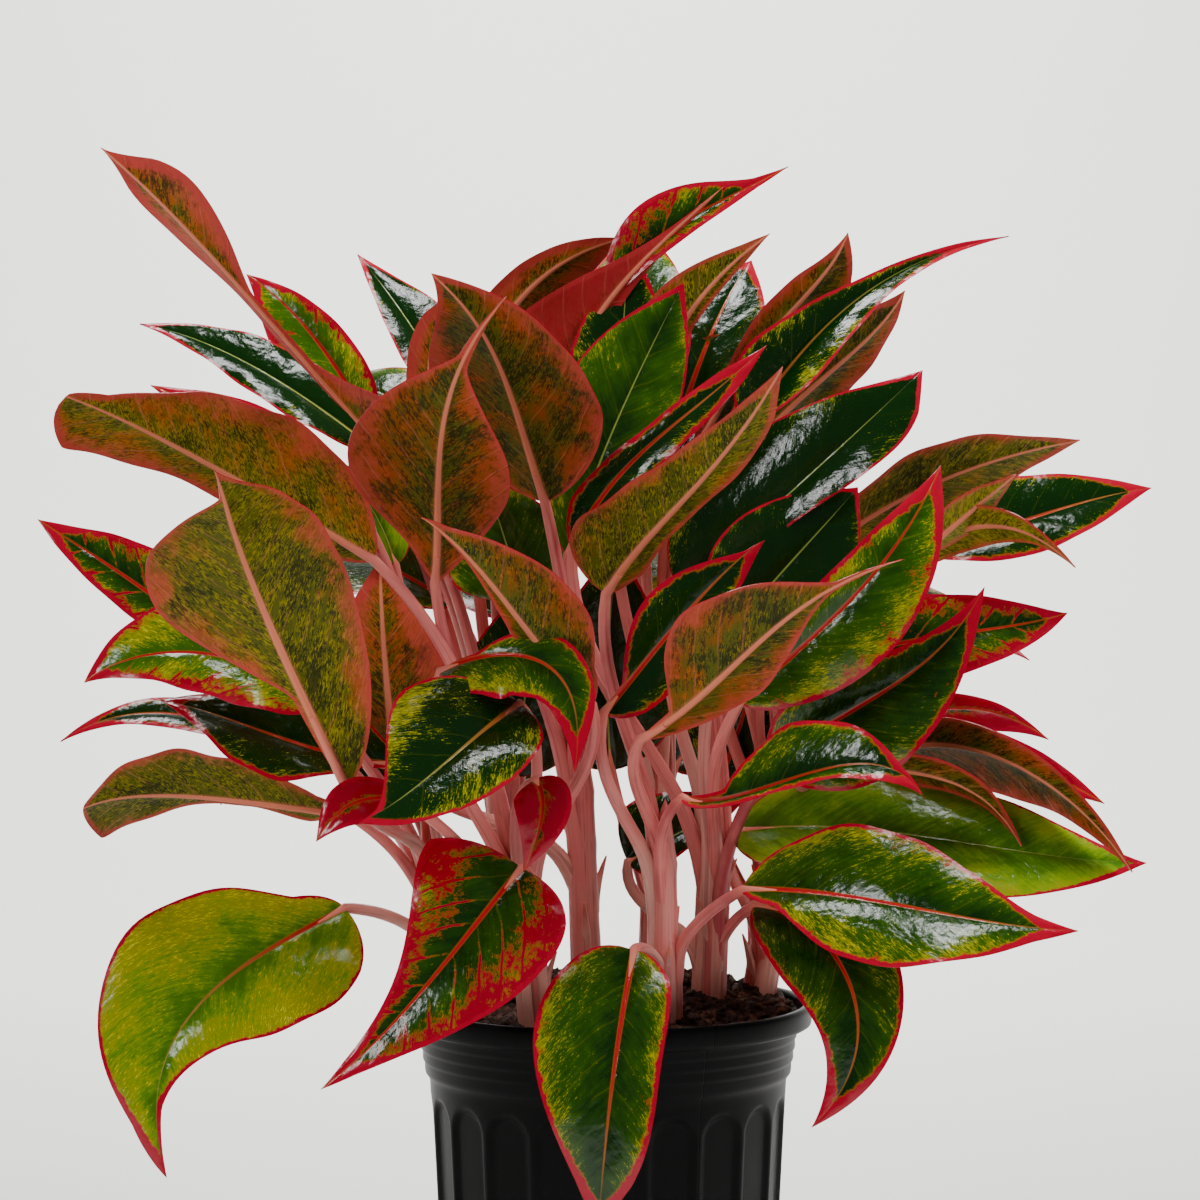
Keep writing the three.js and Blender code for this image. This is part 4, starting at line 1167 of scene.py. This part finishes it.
def add_torn_sheaths(lines, stem):
    """Dried ends of old sheaths, which stand off the cane."""
    for i in range(TORN_SHEATHS):
        turn = i * SHEATH_TURN + stem.foot[0]
        out = np.array([math.cos(turn), math.sin(turn), 0])
        start = cane_point(stem, SHEATH_LOWEST + SHEATH_STEP * i)
        rise = np.linspace(0, 1, 7)[:, None]
        away = SHEATH_OUT[0] + (SHEATH_OUT[1] - SHEATH_OUT[0]) * rise**1.6
        path = start + out * away + np.array([0, 0, SHEATH_LENGTH]) * rise
        lines.add(path, SHEATH_RADIUS * (1.06 - rise[:, 0]) ** 0.7, 1.0, out, SHEATH_SEED)


def stem_lines(stem):
    """The middle lines of a stem's cane, stalks and torn sheaths."""
    lines = Lines()
    add_cane(lines, stem)
    add_stalks(lines, stem)
    add_torn_sheaths(lines, stem)
    return lines.mesh()


def stalk_sweep(material):
    """The tree that draws a round section along the lines and presses in each stalk's groove."""
    growth = Growth("Swept canes and stalks")
    sides = growth.size("Sides", STALK_SIDES, "NodeSocketInt")
    depth = growth.size("Groove", sizes("stems").groove)
    lines = growth.node("GeometryNodeMeshToCurve", {}, {"Mesh": growth.mesh()})
    middle = growth.node("GeometryNodeInputPosition")
    stored = {"data_type": "FLOAT_VECTOR", "domain": "POINT"}
    values = {"Geometry": lines, "Name": "middle", "Value": middle}
    lines = growth.node("GeometryNodeStoreNamedAttribute", stored, values)
    values = {"Resolution": sides, "Radius": 1.0}
    ring = growth.node("GeometryNodeCurvePrimitiveCircle", {"mode": "RADIUS"}, values)
    thick = growth.named("thick")
    values = {"Curve": lines, "Profile Curve": ring, "Fill Caps": True, "Scale": thick}
    swept = growth.node("GeometryNodeCurveToMesh", {}, values)
    place = growth.node("GeometryNodeInputPosition")
    centre = growth.named("middle", "FLOAT_VECTOR")
    top_side = growth.named("top_side", "FLOAT_VECTOR")
    out = growth.node("ShaderNodeVectorMath", {"operation": "SUBTRACT"}, {0: place, 1: centre})
    dot = {"operation": "DOT_PRODUCT"}
    facing = growth.node("ShaderNodeVectorMath", dot, {0: out, 1: top_side}, "Value")
    pressed = (facing / thick).rise(0.45, 1.0) * thick * growth.named("channel") * depth * -1
    push = growth.node("ShaderNodeVectorMath", {"operation": "SCALE"}, {0: top_side, "Scale": pressed})
    grooved = growth.node("GeometryNodeSetPosition", {}, {"Geometry": swept, "Offset": push})
    growth.end(grooved, material)
    return growth


def stalk_paint():
    """Rose stalks, streaked along their length, with painted shade in the furrows between sheath edges,
    paler at the sheath and with painted shade at the foot.
    """
    stems = sizes("stems")
    paint = Paint("rose stalk")
    along = paint.attribute("along")
    seed = paint.attribute("seed")
    place = paint.parts(paint.place())
    x, y, z = place
    # from a stalk's middle line outwards, so that the streaks run along it
    middle = paint.parts(paint.attribute_vector("middle"))
    out_x, out_y, out_z = (a - b for a, b in zip(place, middle))
    streak = paint.noise(paint.vector(out_x + seed, out_y, out_z + along * 0.004), 420, 3, 0.6)
    cloud = paint.noise(paint.vector(x + seed, y, z * 0.5), 30, 3)
    blush = (streak + (cloud - 0.5) * 0.9).rise(0.42, 0.78)
    base = paint.blend(stems.rose, stems.blush, blush * 0.75)
    pale = (0.75 - along + (seed - 0.5) * 1.1 + (cloud - 0.5) * 1.2).rise(0.25, 0.75)
    base = paint.blend(base, stems.sheath, pale * 0.5)
    # painted shade in the furrows between sheath edges, where the streaks are low
    painted_shade_between = (0.5 - streak + (cloud - 0.5) * 0.5).rise(0.02, 0.2)
    base = paint.blend(base, SHEATH_GAP_SHADE, painted_shade_between * 0.45)
    base = paint.blend(base, sizes("blades").rib_pink, along.rise(0.78, 0.98) * 0.8)
    # painted shade at the foot, darker towards the mix
    base = paint.blend(base, PAINTED_SHADE_AT_FOOT, z.rise(0.235, 0.205) * 0.55)
    relief = paint.bump(streak + cloud * 0.5, 0.0004)
    rough = 0.38 + streak * 0.16
    return paint.set(Base_Color=base, Roughness=rough, Normal=relief, Specular_IOR_Level=0.3).material


class EVERGREEN_OT_stalks(bpy.types.Operator):
    """Sweeps every stem's cane and leaf stalks along their lines"""

    bl_idname = "evergreen.stalks"
    bl_label = "Canes and stalks"

    def execute(self, context):
        material = stalk_paint()
        sweep = stalk_sweep(material)
        for stem in STEMS:
            lines = piece_of("lines", stem_lines(stem))
            mesh = turned_out(sweep.grown(lines), recalculate=True)
            bpy.data.objects.remove(lines)
            seated(piece_of(stem.name + "_stalks", mesh, material), "stalks")
        return {"FINISHED"}


# ---- blades ----

ALONG = 60
ACROSS_HALF = 9
# The first and the last ring's share of the rib, and how much the rings crowd towards them.
ENDS = (0.006, 0.994)
RINGS_EASED = 0.4
# Lines crowd towards the rib by this power.
LINES_POWER = 1.45
# A half's own shares count at a quarter, half and three quarters, and hold past these ends.
SHARES_HOLD = (0.12, 0.88)
LEAST_SHARE = 0.12

# A half folds up from the rib, more at the stalk than at the tip, and curls down again outwards.
FOLD_AT_STALK = 1.15
FOLD_EASE = 0.45
CURL = math.radians(22)
# Long waves lift a half's outer part, one half before the other, and short ones frill its edge.
WAVE = 0.05
WAVES = 1.6
WAVES_APART = 1.3
FRILLS = 4.1
# The rib's groove above and ridge below, as depth and reach in millimetres.
GROOVE = (0.55, 1.5)
RIDGE_REACH = 1.7
EDGE_THINNED = 0.55
# A side vein that is so far from the rib is VEIN_LEAN times as far along it, and bends forwards.
VEIN_LEAN = 1.0
VEIN_BEND = 0.008
VEIN_SEED_STEP = 0.377


def half_width(leaf, s, side):
    """The width of one half of a blade: the shared outline times the leaf's own shares."""

    def outline(x):
        return x**leaf.round * (1 - x) ** leaf.taper

    near, middle, far = leaf.right if side > 0 else leaf.left
    x = 4 * np.clip(s, *SHARES_HOLD) - 2
    share = near * x * (x - 1) / 2 + middle * (1 - x * x) + far * x * (x + 1) / 2
    widest = outline(leaf.round / (leaf.round + leaf.taper))
    return leaf.wide / 2 * np.maximum(share, LEAST_SHARE) * outline(s) / widest


class Spine(NamedTuple):
    """A blade's rib at each of its rings: the share of the rib, the millimetres from the stalk,
    the place, the way that the upper side looks, and the way to its right."""

    s: np.ndarray
    steps: np.ndarray
    rib: np.ndarray
    look: np.ndarray
    aside: np.ndarray


def spine_of(leaf):
    t = np.linspace(0, 1, ALONG)
    eased = (1 - RINGS_EASED) * t + RINGS_EASED * (0.5 - 0.5 * np.cos(math.pi * t))
    s = ENDS[0] + (ENDS[1] - ENDS[0]) * eased
    rib = rib_points(leaf.rib, s)
    look = upper_looks(leaf, s)
    steps = np.concatenate(([0], np.cumsum(np.linalg.norm(np.diff(rib, axis=0), axis=1))))
    return Spine(s, steps, rib, look, np.cross(rib_ways(leaf.rib, s), look))


def quilting(spine, out, off, seed):
    """How far the blade swells between its side veins."""
    blades = sizes("blades")
    lively = 0.6 + 0.5 * np.sin(spine.steps * 0.07 + seed * 20)
    along_vein = spine.steps - VEIN_LEAN * off - VEIN_BEND * off**2
    vein = 2 * math.pi * along_vein / (blades.vein_pitch / MM)
    return blades.quilting / MM * lively * np.sin(math.pi * min(out * 1.05, 1)) * np.cos(vein)


def blade_line(leaf, spine, seed, share):
    """The line along a blade at a share of its halves' widths, from -1 on the left to 1: its points
    on the upper side and on the underside, and the facts that paint them."""
    blades = sizes("blades")
    s = spine.s
    side = 1 if share > 0 else -1
    out = abs(share)
    half = half_width(leaf, s, side)
    off = half * out
    fold = math.radians(leaf.fold) * (FOLD_AT_STALK - FOLD_EASE * s)
    slope = fold - CURL * out
    wave = np.sin(2 * math.pi * WAVES * s + (WAVES_APART if side > 0 else 0))
    frill = np.sin(2 * math.pi * FRILLS * s + seed * 9 + side)
    across = side * (np.sin(fold) - np.sin(slope)) / CURL
    rise = (np.cos(slope) - np.cos(fold)) / CURL + WAVE * out**2 * wave + leaf.wavy * out**3 * frill
    lift = rise * half + quilting(spine, out, off, seed)
    middle = spine.rib + spine.aside * (across * half)[:, None] + spine.look * lift[:, None]
    normal = spine.look * np.cos(slope)[:, None] - spine.aside * (side * np.sin(slope))[:, None]
    thin = blades.thickness / MM / 2 * (1 - EDGE_THINNED * out**4)
    groove = GROOVE[0] * np.exp(-((off / GROOVE[1]) ** 2)) * (1 - s)
    ridge = blades.rib / MM * (1.05 - s) * np.exp(-((off / RIDGE_REACH) ** 2))
    upper = middle + normal * (thin - groove)[:, None]
    under = middle - normal * (thin + ridge)[:, None]
    return upper, under, np.stack([side * off, spine.steps, half * (1 - out), s], axis=1)


def blade_rings(leaf, seed):
    """Rings round a blade from its stalk to its tip: the upper side from left to right, then the
    underside back. Gives the points, the facts that paint them, and the blade's length."""
    spine = spine_of(leaf)
    half_shares = (np.arange(1, ACROSS_HALF + 1) / ACROSS_HALF) ** LINES_POWER
    shares = np.concatenate((-half_shares[::-1], [0], half_shares))
    upper, under, facts = zip(*(blade_line(leaf, spine, seed, share) for share in shares))
    points = np.stack(upper + under[::-1], axis=1)
    return points, np.stack(facts + facts[::-1], axis=1), spine.steps[-1]


def blade_parts(leaf, seed):
    """One blade as points, the facts that paint them, faces, and each face's side: 0 upper, 1 under.
    The facts are millimetres from the rib, along it and to the margin, and the share of the rib."""
    rings, facts, blade_length = blade_rings(leaf, seed)
    ends = rib_points(leaf.rib, np.array([0.0, 1.0]))
    points = np.vstack([ends[:1], rings.reshape(-1, 3), ends[1:]])
    facts = np.vstack([[[0, 0, 0, 0]], facts.reshape(-1, 4), [[0, blade_length, 0, 1]]])
    last = len(points) - 1
    ring_size = rings.shape[1]

    def at(ring, i):
        return 1 + ring * ring_size + i % ring_size

    faces, sides = [], []
    for i in range(ring_size):
        # the two strips that close the margins belong to the upper side
        side = 0 if i < ring_size // 2 or i == ring_size - 1 else 1
        faces.append((0, at(0, i), at(0, i + 1)))
        faces.append((last, at(ALONG - 1, i + 1), at(ALONG - 1, i)))
        for ring in range(ALONG - 1):
            faces.append((at(ring, i), at(ring + 1, i), at(ring + 1, i + 1), at(ring, i + 1)))
        sides += [side] * (ALONG + 1)
    return points, facts, faces, sides


def blades_of(stem, materials, stem_index):
    """All blades of a stem as one mesh, with the facts that the paints read."""
    points, faces, sides, facts, seeds, upper, under = [], [], [], [], [], [], []
    for i, leaf in enumerate(stem.leaves):
        seed = (stem_index * GOLDEN + i * VEIN_SEED_STEP) % 1
        leaf_points, leaf_facts, leaf_faces, leaf_sides = blade_parts(leaf, seed)
        first = len(points)
        rows = len(leaf_points)
        points.extend(leaf_points * MM)
        faces.extend(tuple(first + k for k in face) for face in leaf_faces)
        sides.extend(leaf_sides)
        facts.extend(leaf_facts)
        seeds.extend([seed * 50] * rows)
        upper.extend([UPPER_SIDES[leaf.upper]] * rows)
        under.extend([UNDER_SIDES[leaf.under]] * rows)
    mesh = mesh_from(stem.name, points, faces)
    mesh.polygons.foreach_set("material_index", sides)
    facts, upper, under = np.array(facts), np.array(upper), np.array(under)
    put_attribute(mesh, "lay", np.column_stack([facts[:, :2], seeds]))
    put_attribute(mesh, "gap", facts[:, 2])
    put_attribute(mesh, "share", facts[:, 3])
    put_attribute(mesh, "upper", upper[:, :3])
    put_attribute(mesh, "upper_margin", upper[:, 3])
    put_attribute(mesh, "under", under[:, :3])
    put_attribute(mesh, "under_margin", under[:, 3])
    for material in materials:
        mesh.materials.append(material)
    return mesh


def crisp_margins(mesh):
    """Smooth blades, with a sharp edge where the upper side or the underside meets the margin."""
    work = bmesh.new()
    work.from_mesh(mesh)
    gap = work.verts.layers.float["gap"]
    for face in work.faces:
        face.smooth = True
    for edge in work.edges:
        if all(v[gap] < 1e-6 for v in edge.verts) and len(edge.link_faces) == 2:
            a, b = edge.link_faces
            edge.smooth = a.normal.dot(b.normal) > 0.6
    if work.calc_volume(signed=True) < 0:
        bmesh.ops.reverse_faces(work, faces=work.faces)
    work.to_mesh(mesh)
    work.free()
    return mesh


GREEN_RIB = shade(132, 142, 60)
RED_RIB = shade(172, 22, 30)
RIB_SHADOW = shade(178, 96, 14)
UNDER_DARK = shade(20, 28, 0)


class BladeFacts(NamedTuple):
    """What both sides of a blade read: the millimetres from the rib, to the margin and to the
    nearest side vein, the shares of the half's width and of the rib, and four noises."""

    off: Wire
    gap: Wire
    to_vein: Wire
    outer: Wire
    share: Wire
    grain: Wire
    streak: Wire
    cloud: Wire
    ragged: Wire


def blade_facts(paint):
    pitch = sizes("blades").vein_pitch / MM
    side, along, seed = paint.parts(paint.attribute_vector("lay"))
    gap = paint.attribute("gap")
    off = abs(side)
    sway = paint.noise(paint.vector(side * 0.03, along * 0.03, seed), 1.0, 2) * 10
    lean = along - off * VEIN_LEAN - off * off * VEIN_BEND
    half = seed + (side * 40).rise(-1, 1) * 7
    # grain and streak are stretched along the side veins
    return BladeFacts(
        off=off,
        gap=gap,
        to_vein=abs(((lean + sway) / pitch).fraction() - 0.5) * pitch,
        outer=off / (off + gap + 0.01),
        share=paint.attribute("share"),
        grain=paint.noise(paint.vector(lean * 0.95, off * 0.55, half), 1.0, 3, 0.8),
        streak=paint.noise(paint.vector(lean * 0.3, off * 0.09, half), 1.0, 3, 0.6),
        cloud=paint.noise(paint.vector(side * 0.05, along * 0.04, half), 1.0, 3, 0.6),
        ragged=paint.noise(paint.vector(side * 0.2, along * 0.2, seed + 3), 1.0, 4, 0.7),
    )


def mottled_green(paint, facts, light, speckled):
    """An upper side's greens, its olive mottling and its yellow speckles."""
    blades = sizes("blades")
    grain, cloud = facts.grain, facts.cloud
    zone = facts.outer * 0.8 + (cloud - 0.5) * 1.5 + (facts.streak - 0.5) * 0.9
    leafy = (zone * 0.5 + light * 1.1 - 0.25).rise(0.0, 1.0)
    base = paint.blend(blades.deep_green, blades.leaf_green, leafy)
    limy = (light * 1.2 + (zone - 0.5) * 0.7 + (grain - 0.5) * 0.6).rise(0.75, 1.5)
    base = paint.blend(base, blades.lime, limy)
    mottled = (zone + light * 0.2 + speckled * 0.45 + (grain - 0.5) * 2.2).rise(0.95, 1.2)
    base = paint.blend(base, blades.olive, mottled * 0.9)
    dots = (grain + (zone - 0.5) * 0.16 + speckled * 0.06).rise(0.66, 0.7) * speckled
    base = paint.blend(base, blades.speckle, dots)
    veins = facts.to_vein.rise(0.9, 0.3) * (light * 0.5 + speckled * 0.25) * cloud.rise(0.35, 0.55)
    return paint.blend(base, blades.speckle, veins * 0.16), mottled


def reddened(paint, facts, base, red, margin):
    """The margin, ragged and widest at the tip, and the flush that spreads in from it and along
    the side veins, both fringed with orange."""
    blades = sizes("blades")
    ragged, grain = facts.ragged, facts.grain
    inside = margin * (facts.share.rise(0.7, 1.0) * 2.2 + 1) + (ragged - 0.5) * margin * 3.0
    inside = inside + (grain - 0.5) * 1.2 - facts.gap
    base = paint.blend(base, blades.fringe, inside.rise(-1.6, -0.3) * margin.rise(1.2, 2.4) * 0.55)
    reach = red + (facts.outer - 0.7) * 0.8 + (facts.cloud - 0.5) * -1.2 + (ragged - 0.5) * 0.9
    reach = reach + (grain - 0.5) * 0.8 + facts.to_vein.rise(1.6, 0.5) * 0.3 * red.rise(0.25, 0.5)
    reach = reach * red.rise(0.02, 0.15)
    base = paint.blend(base, blades.fringe, reach.rise(0.38, 0.5) * 0.55)
    base = paint.blend(base, blades.flush, reach.rise(0.48, 0.6))
    return paint.blend(base, blades.margin, inside.rise(-0.4, 0.2))


def ribbed(paint, facts, base, red, margin):
    """The rib, redder on a redder leaf, and the orange beside it."""
    share, off = facts.share, facts.off
    tint = (red * 0.9 + margin * 0.34 - 0.2 + (share - 0.2) * -0.5).rise(0.1, 0.6)
    width = (share * -1.2 + 1.5) * (tint * 0.5 + 0.5)
    base = paint.blend(base, RIB_SHADOW, (width * 1.4 - off).rise(-0.2, 0.3) * tint * 0.5)
    rib = paint.blend(GREEN_RIB, RED_RIB, tint)
    return paint.blend(base, rib, (width - off).rise(-0.2, 0.25) * share.rise(0.98, 0.7))


def upper_paint():
    """The glossy upper side."""
    paint = Paint("leaf upper side")
    facts = blade_facts(paint)
    light, speckled, red = paint.parts(paint.attribute_vector("upper"))
    margin = paint.attribute("upper_margin")
    base, mottled = mottled_green(paint, facts, light, speckled)
    base = reddened(paint, facts, base, red, margin)
    base = ribbed(paint, facts, base, red, margin)
    swell = facts.cloud * 1.3 + facts.streak * 0.12 + facts.ragged * 0.22 + facts.grain * 0.02
    relief = paint.bump(swell, 0.001)
    rough = 0.06 + facts.cloud * 0.06 + mottled * 0.08
    return paint.set(Base_Color=base, Roughness=rough, Normal=relief, Specular_IOR_Level=0.38).material


def flecked_bronze(paint, facts, orange, pale):
    """An underside's olive and orange, with lighter and darker flecks."""
    blades = sizes("blades")
    grain, streak, cloud, outer = facts.grain, facts.streak, facts.cloud, facts.outer
    tone = orange + (cloud - 0.5) * 2.0 + (outer - 0.5) * 0.8 + (streak - 0.5) * 0.8
    base = paint.blend(blades.under_olive, blades.under_orange, tone.rise(0.1, 0.95))
    light = pale * 0.6 + (streak - 0.5) * 1.6 + (facts.ragged - 0.5) * 1.0 + (grain - 0.5) * -1.8
    warm = (tone * 0.6 + orange * 0.9).rise(0.1, 0.9)
    fleck = paint.blend(blades.under_pale, blades.under_fleck, warm)
    base = paint.blend(base, fleck, light.rise(0.1, 0.55) * 0.75)
    dark = (grain - 0.5) * 2.8 + (streak - 0.5) * 1.8 + (cloud - 0.5) * -1.6
    dark = dark + pale * -0.2 + outer * -0.15
    return paint.blend(base, UNDER_DARK, dark.rise(-0.2, 0.15) * 0.85)


def under_paint():
    """The matt underside with its raised pink rib."""
    blades = sizes("blades")
    paint = Paint("leaf underside")
    facts = blade_facts(paint)
    off, share, cloud, ragged = facts.off, facts.share, facts.cloud, facts.ragged
    orange, pale, red = paint.parts(paint.attribute_vector("under"))
    margin = paint.attribute("under_margin")
    base = flecked_bronze(paint, facts, orange, pale)
    # the underside's own pink margin zone, widened so that it also stands for a painted sheen along the
    # edge
    rosy_and_sheen = facts.outer + red * 0.7 + (ragged - 0.5) * 1.0 + (cloud - 0.5) * 0.8 + margin * 0.06
    base = paint.blend(base, blades.under_pink, rosy_and_sheen.rise(0.75, 1.3) * 0.6)
    base = paint.blend(base, blades.flush, (red - 0.6).rise(0.0, 0.4) * (0.75 + (cloud - 0.5)))
    edge = margin * (share.rise(0.75, 1.0) * 1.4 + 1) - facts.gap + (ragged - 0.5) * margin
    edge_colour = paint.blend(blades.under_pink, blades.margin, 0.3 + red * 0.3)
    base = paint.blend(base, edge_colour, edge.rise(-1.2, 0.8) * 0.65)
    veins = facts.to_vein.rise(1.3, 0.2) * off.rise(1.0, 3.0) * cloud.rise(0.3, 0.6)
    base = paint.blend(base, blades.rib_pink, veins * 0.18)
    width = 1.9 - share * 1.5
    base = paint.blend(base, blades.rib_pink, (width * 1.8 - off).rise(-0.5, 2.0) * 0.4)
    base = paint.blend(base, blades.rib_pink, (width - off).rise(-0.3, 0.3) * 0.9)
    relief = paint.bump(cloud * 0.8 + facts.streak * 0.25 + veins * 0.3, 0.001)
    rough = 0.46 + facts.streak * 0.1
    return paint.set(Base_Color=base, Roughness=rough, Normal=relief, Specular_IOR_Level=0.16).material


class EVERGREEN_OT_blades(bpy.types.Operator):
    """Makes every stem's leaf blades, folded, waved and veined"""

    bl_idname = "evergreen.blades"
    bl_label = "Leaf blades"

    def execute(self, context):
        materials = (upper_paint(), under_paint())
        for index, stem in enumerate(STEMS):
            mesh = crisp_margins(blades_of(stem, materials, index))
            seated(piece_of(stem.name + "_blades", mesh), "leaves", stem.name)
        return {"FINISHED"}


# ---- stage ----


class Light(NamedTuple):
    """A soft box: where it hangs, its width and height in metres, its watts, whether glossy
    leaves mirror it, and the place that it faces."""

    name: str
    place: tuple
    size: tuple
    power: float
    mirrored: bool = True
    target: tuple = (0, 0, 0.36)


# Three broad boxes light the plant, its glossy leaves mirror three small windows, and the last box
# lights the wall behind.
LIGHTS = (
    Light("overhead", (0.35, 0.25, 1.9), (0.8, 0.8), 22, mirrored=False),
    Light("right", (1.5, -0.8, 1.5), (0.7, 1.0), 20, mirrored=False),
    Light("front", (-1.0, -2.0, 1.35), (0.35, 0.6), 13, mirrored=False),
    Light("left window", (-1.3, -1.2, 1.45), (0.35, 0.55), 12),
    Light("top window", (0.12, -0.05, 1.8), (0.3, 0.3), 7),
    Light("back window", (-0.33, 0.38, 1.8), (0.35, 0.35), 8),
    Light("backdrop", (0, 1.4, 2.6), (3.0, 1.0), 240, target=(0, 3.6, 1.2)),
)
ROOM = (0.86, 0.9, 0.92, 1)
ROOM_LIGHT = 0.15

# The floor in metres: its half width, its front, where it starts to curve up, the curve's radius
# and how high it goes.
FLOOR_SIDE = 7.0
FLOOR_FRONT = -6.0
FLOOR_BACK = 2.2
FLOOR_CURVE = 1.6
FLOOR_TOP = 6.0
CURVE_STEPS = 24
FLOOR_CLOUD = shade(228, 228, 224)


def soft_light(light):
    data = bpy.data.lights.new(light.name, "AREA")
    data.shape = "RECTANGLE"
    data.size, data.size_y = light.size
    data.energy = light.power
    made = bpy.data.objects.new(light.name, data)
    made.location = light.place
    way = Vector(light.target) - Vector(light.place)
    made.rotation_euler = way.to_track_quat("-Z", "Y").to_euler()
    made.visible_glossy = light.mirrored
    bpy.context.scene.collection.objects.link(made)


def sweep_floor():
    """The floor, curving up far behind into a backdrop."""
    bends = np.linspace(0, math.pi / 2, CURVE_STEPS)[1:]
    profile = [(FLOOR_FRONT, 0.0), (FLOOR_BACK, 0.0)]
    for t in bends:
        back = FLOOR_BACK + FLOOR_CURVE * math.sin(t)
        profile.append((back, FLOOR_CURVE - FLOOR_CURVE * math.cos(t)))
    profile.append((FLOOR_BACK + FLOOR_CURVE, FLOOR_TOP))
    points = [(x, y, z) for y, z in profile for x in (-FLOOR_SIDE, FLOOR_SIDE)]
    faces = [(2 * i, 2 * i + 1, 2 * i + 3, 2 * i + 2) for i in range(len(profile) - 1)]
    mesh = mesh_from("floor", points, faces)
    for face in mesh.polygons:
        face.use_smooth = True
    paint = Paint("pale floor")
    cloud = paint.noise(paint.place(), 3, 2)
    base = paint.blend(sizes("stage").floor, FLOOR_CLOUD, cloud * 0.4)
    piece_of("floor", mesh, paint.set(Base_Color=base, Roughness=0.7).material)


def set_camera():
    """The camera where the picture was taken from."""
    stage = sizes("stage")
    data = bpy.data.cameras.new("camera")
    data.sensor_width = SENSOR
    data.lens = stage.focal
    camera = bpy.data.objects.new("camera", data)
    camera.location = (stage.camera_aside, -stage.camera_away, stage.camera_height)
    camera.rotation_euler = (math.pi / 2 - stage.tilt, 0, 0)
    bpy.context.scene.collection.objects.link(camera)
    bpy.context.scene.camera = camera


class EVERGREEN_OT_stage(bpy.types.Operator):
    """Sets the floor, the soft light and the camera"""

    bl_idname = "evergreen.stage"
    bl_label = "Floor, light and camera"

    def execute(self, context):
        sweep_floor()
        for light in LIGHTS:
            soft_light(light)
        world = bpy.data.worlds.new("pale room")
        world.use_nodes = True
        room = world.node_tree.nodes["Background"].inputs
        room["Color"].default_value = ROOM
        room["Strength"].default_value = ROOM_LIGHT
        context.scene.world = world
        set_camera()
        return {"FINISHED"}


class EVERGREEN_PT_panel(bpy.types.Panel):
    """Lists the plant's pieces and their sizes"""

    bl_idname = "EVERGREEN_PT_panel"
    bl_label = "Chinese evergreen"
    bl_space_type = "VIEW_3D"
    bl_region_type = "UI"
    bl_category = "Evergreen"

    def draw(self, context):
        groups = context.scene.evergreen
        for name, step in STEPS.items():
            box = self.layout.box()
            box.operator(step.bl_idname)
            values = getattr(groups, name)
            for field in values.bl_rna.properties:
                if not field.is_readonly and field.identifier != "name":
                    box.prop(values, field.identifier)


# The operators in the order in which they run, each with its group of sizes.
STEPS = {
    "pot": EVERGREEN_OT_pot,
    "mix": EVERGREEN_OT_mix,
    "stems": EVERGREEN_OT_stalks,
    "blades": EVERGREEN_OT_blades,
    "stage": EVERGREEN_OT_stage,
}
CLASSES = (
    EVERGREEN_PG_pot,
    EVERGREEN_PG_mix,
    EVERGREEN_PG_stems,
    EVERGREEN_PG_blades,
    EVERGREEN_PG_stage,
    EVERGREEN_PG_all,
    *STEPS.values(),
    EVERGREEN_PT_panel,
)


def register():
    for made in CLASSES:
        bpy.utils.register_class(made)
    bpy.types.Scene.evergreen = bpy.props.PointerProperty(
        type=EVERGREEN_PG_all, name="Evergreen", description="Sizes and colours of the plant"
    )


def unregister():
    del bpy.types.Scene.evergreen
    for made in reversed(CLASSES):
        bpy.utils.unregister_class(made)


def main():
    register()
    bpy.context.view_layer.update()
    bpy.ops.evergreen.pot()
    bpy.ops.evergreen.mix()
    bpy.ops.evergreen.stalks()
    bpy.ops.evergreen.blades()
    bpy.ops.evergreen.stage()


if __name__ == "__main__":
    main()
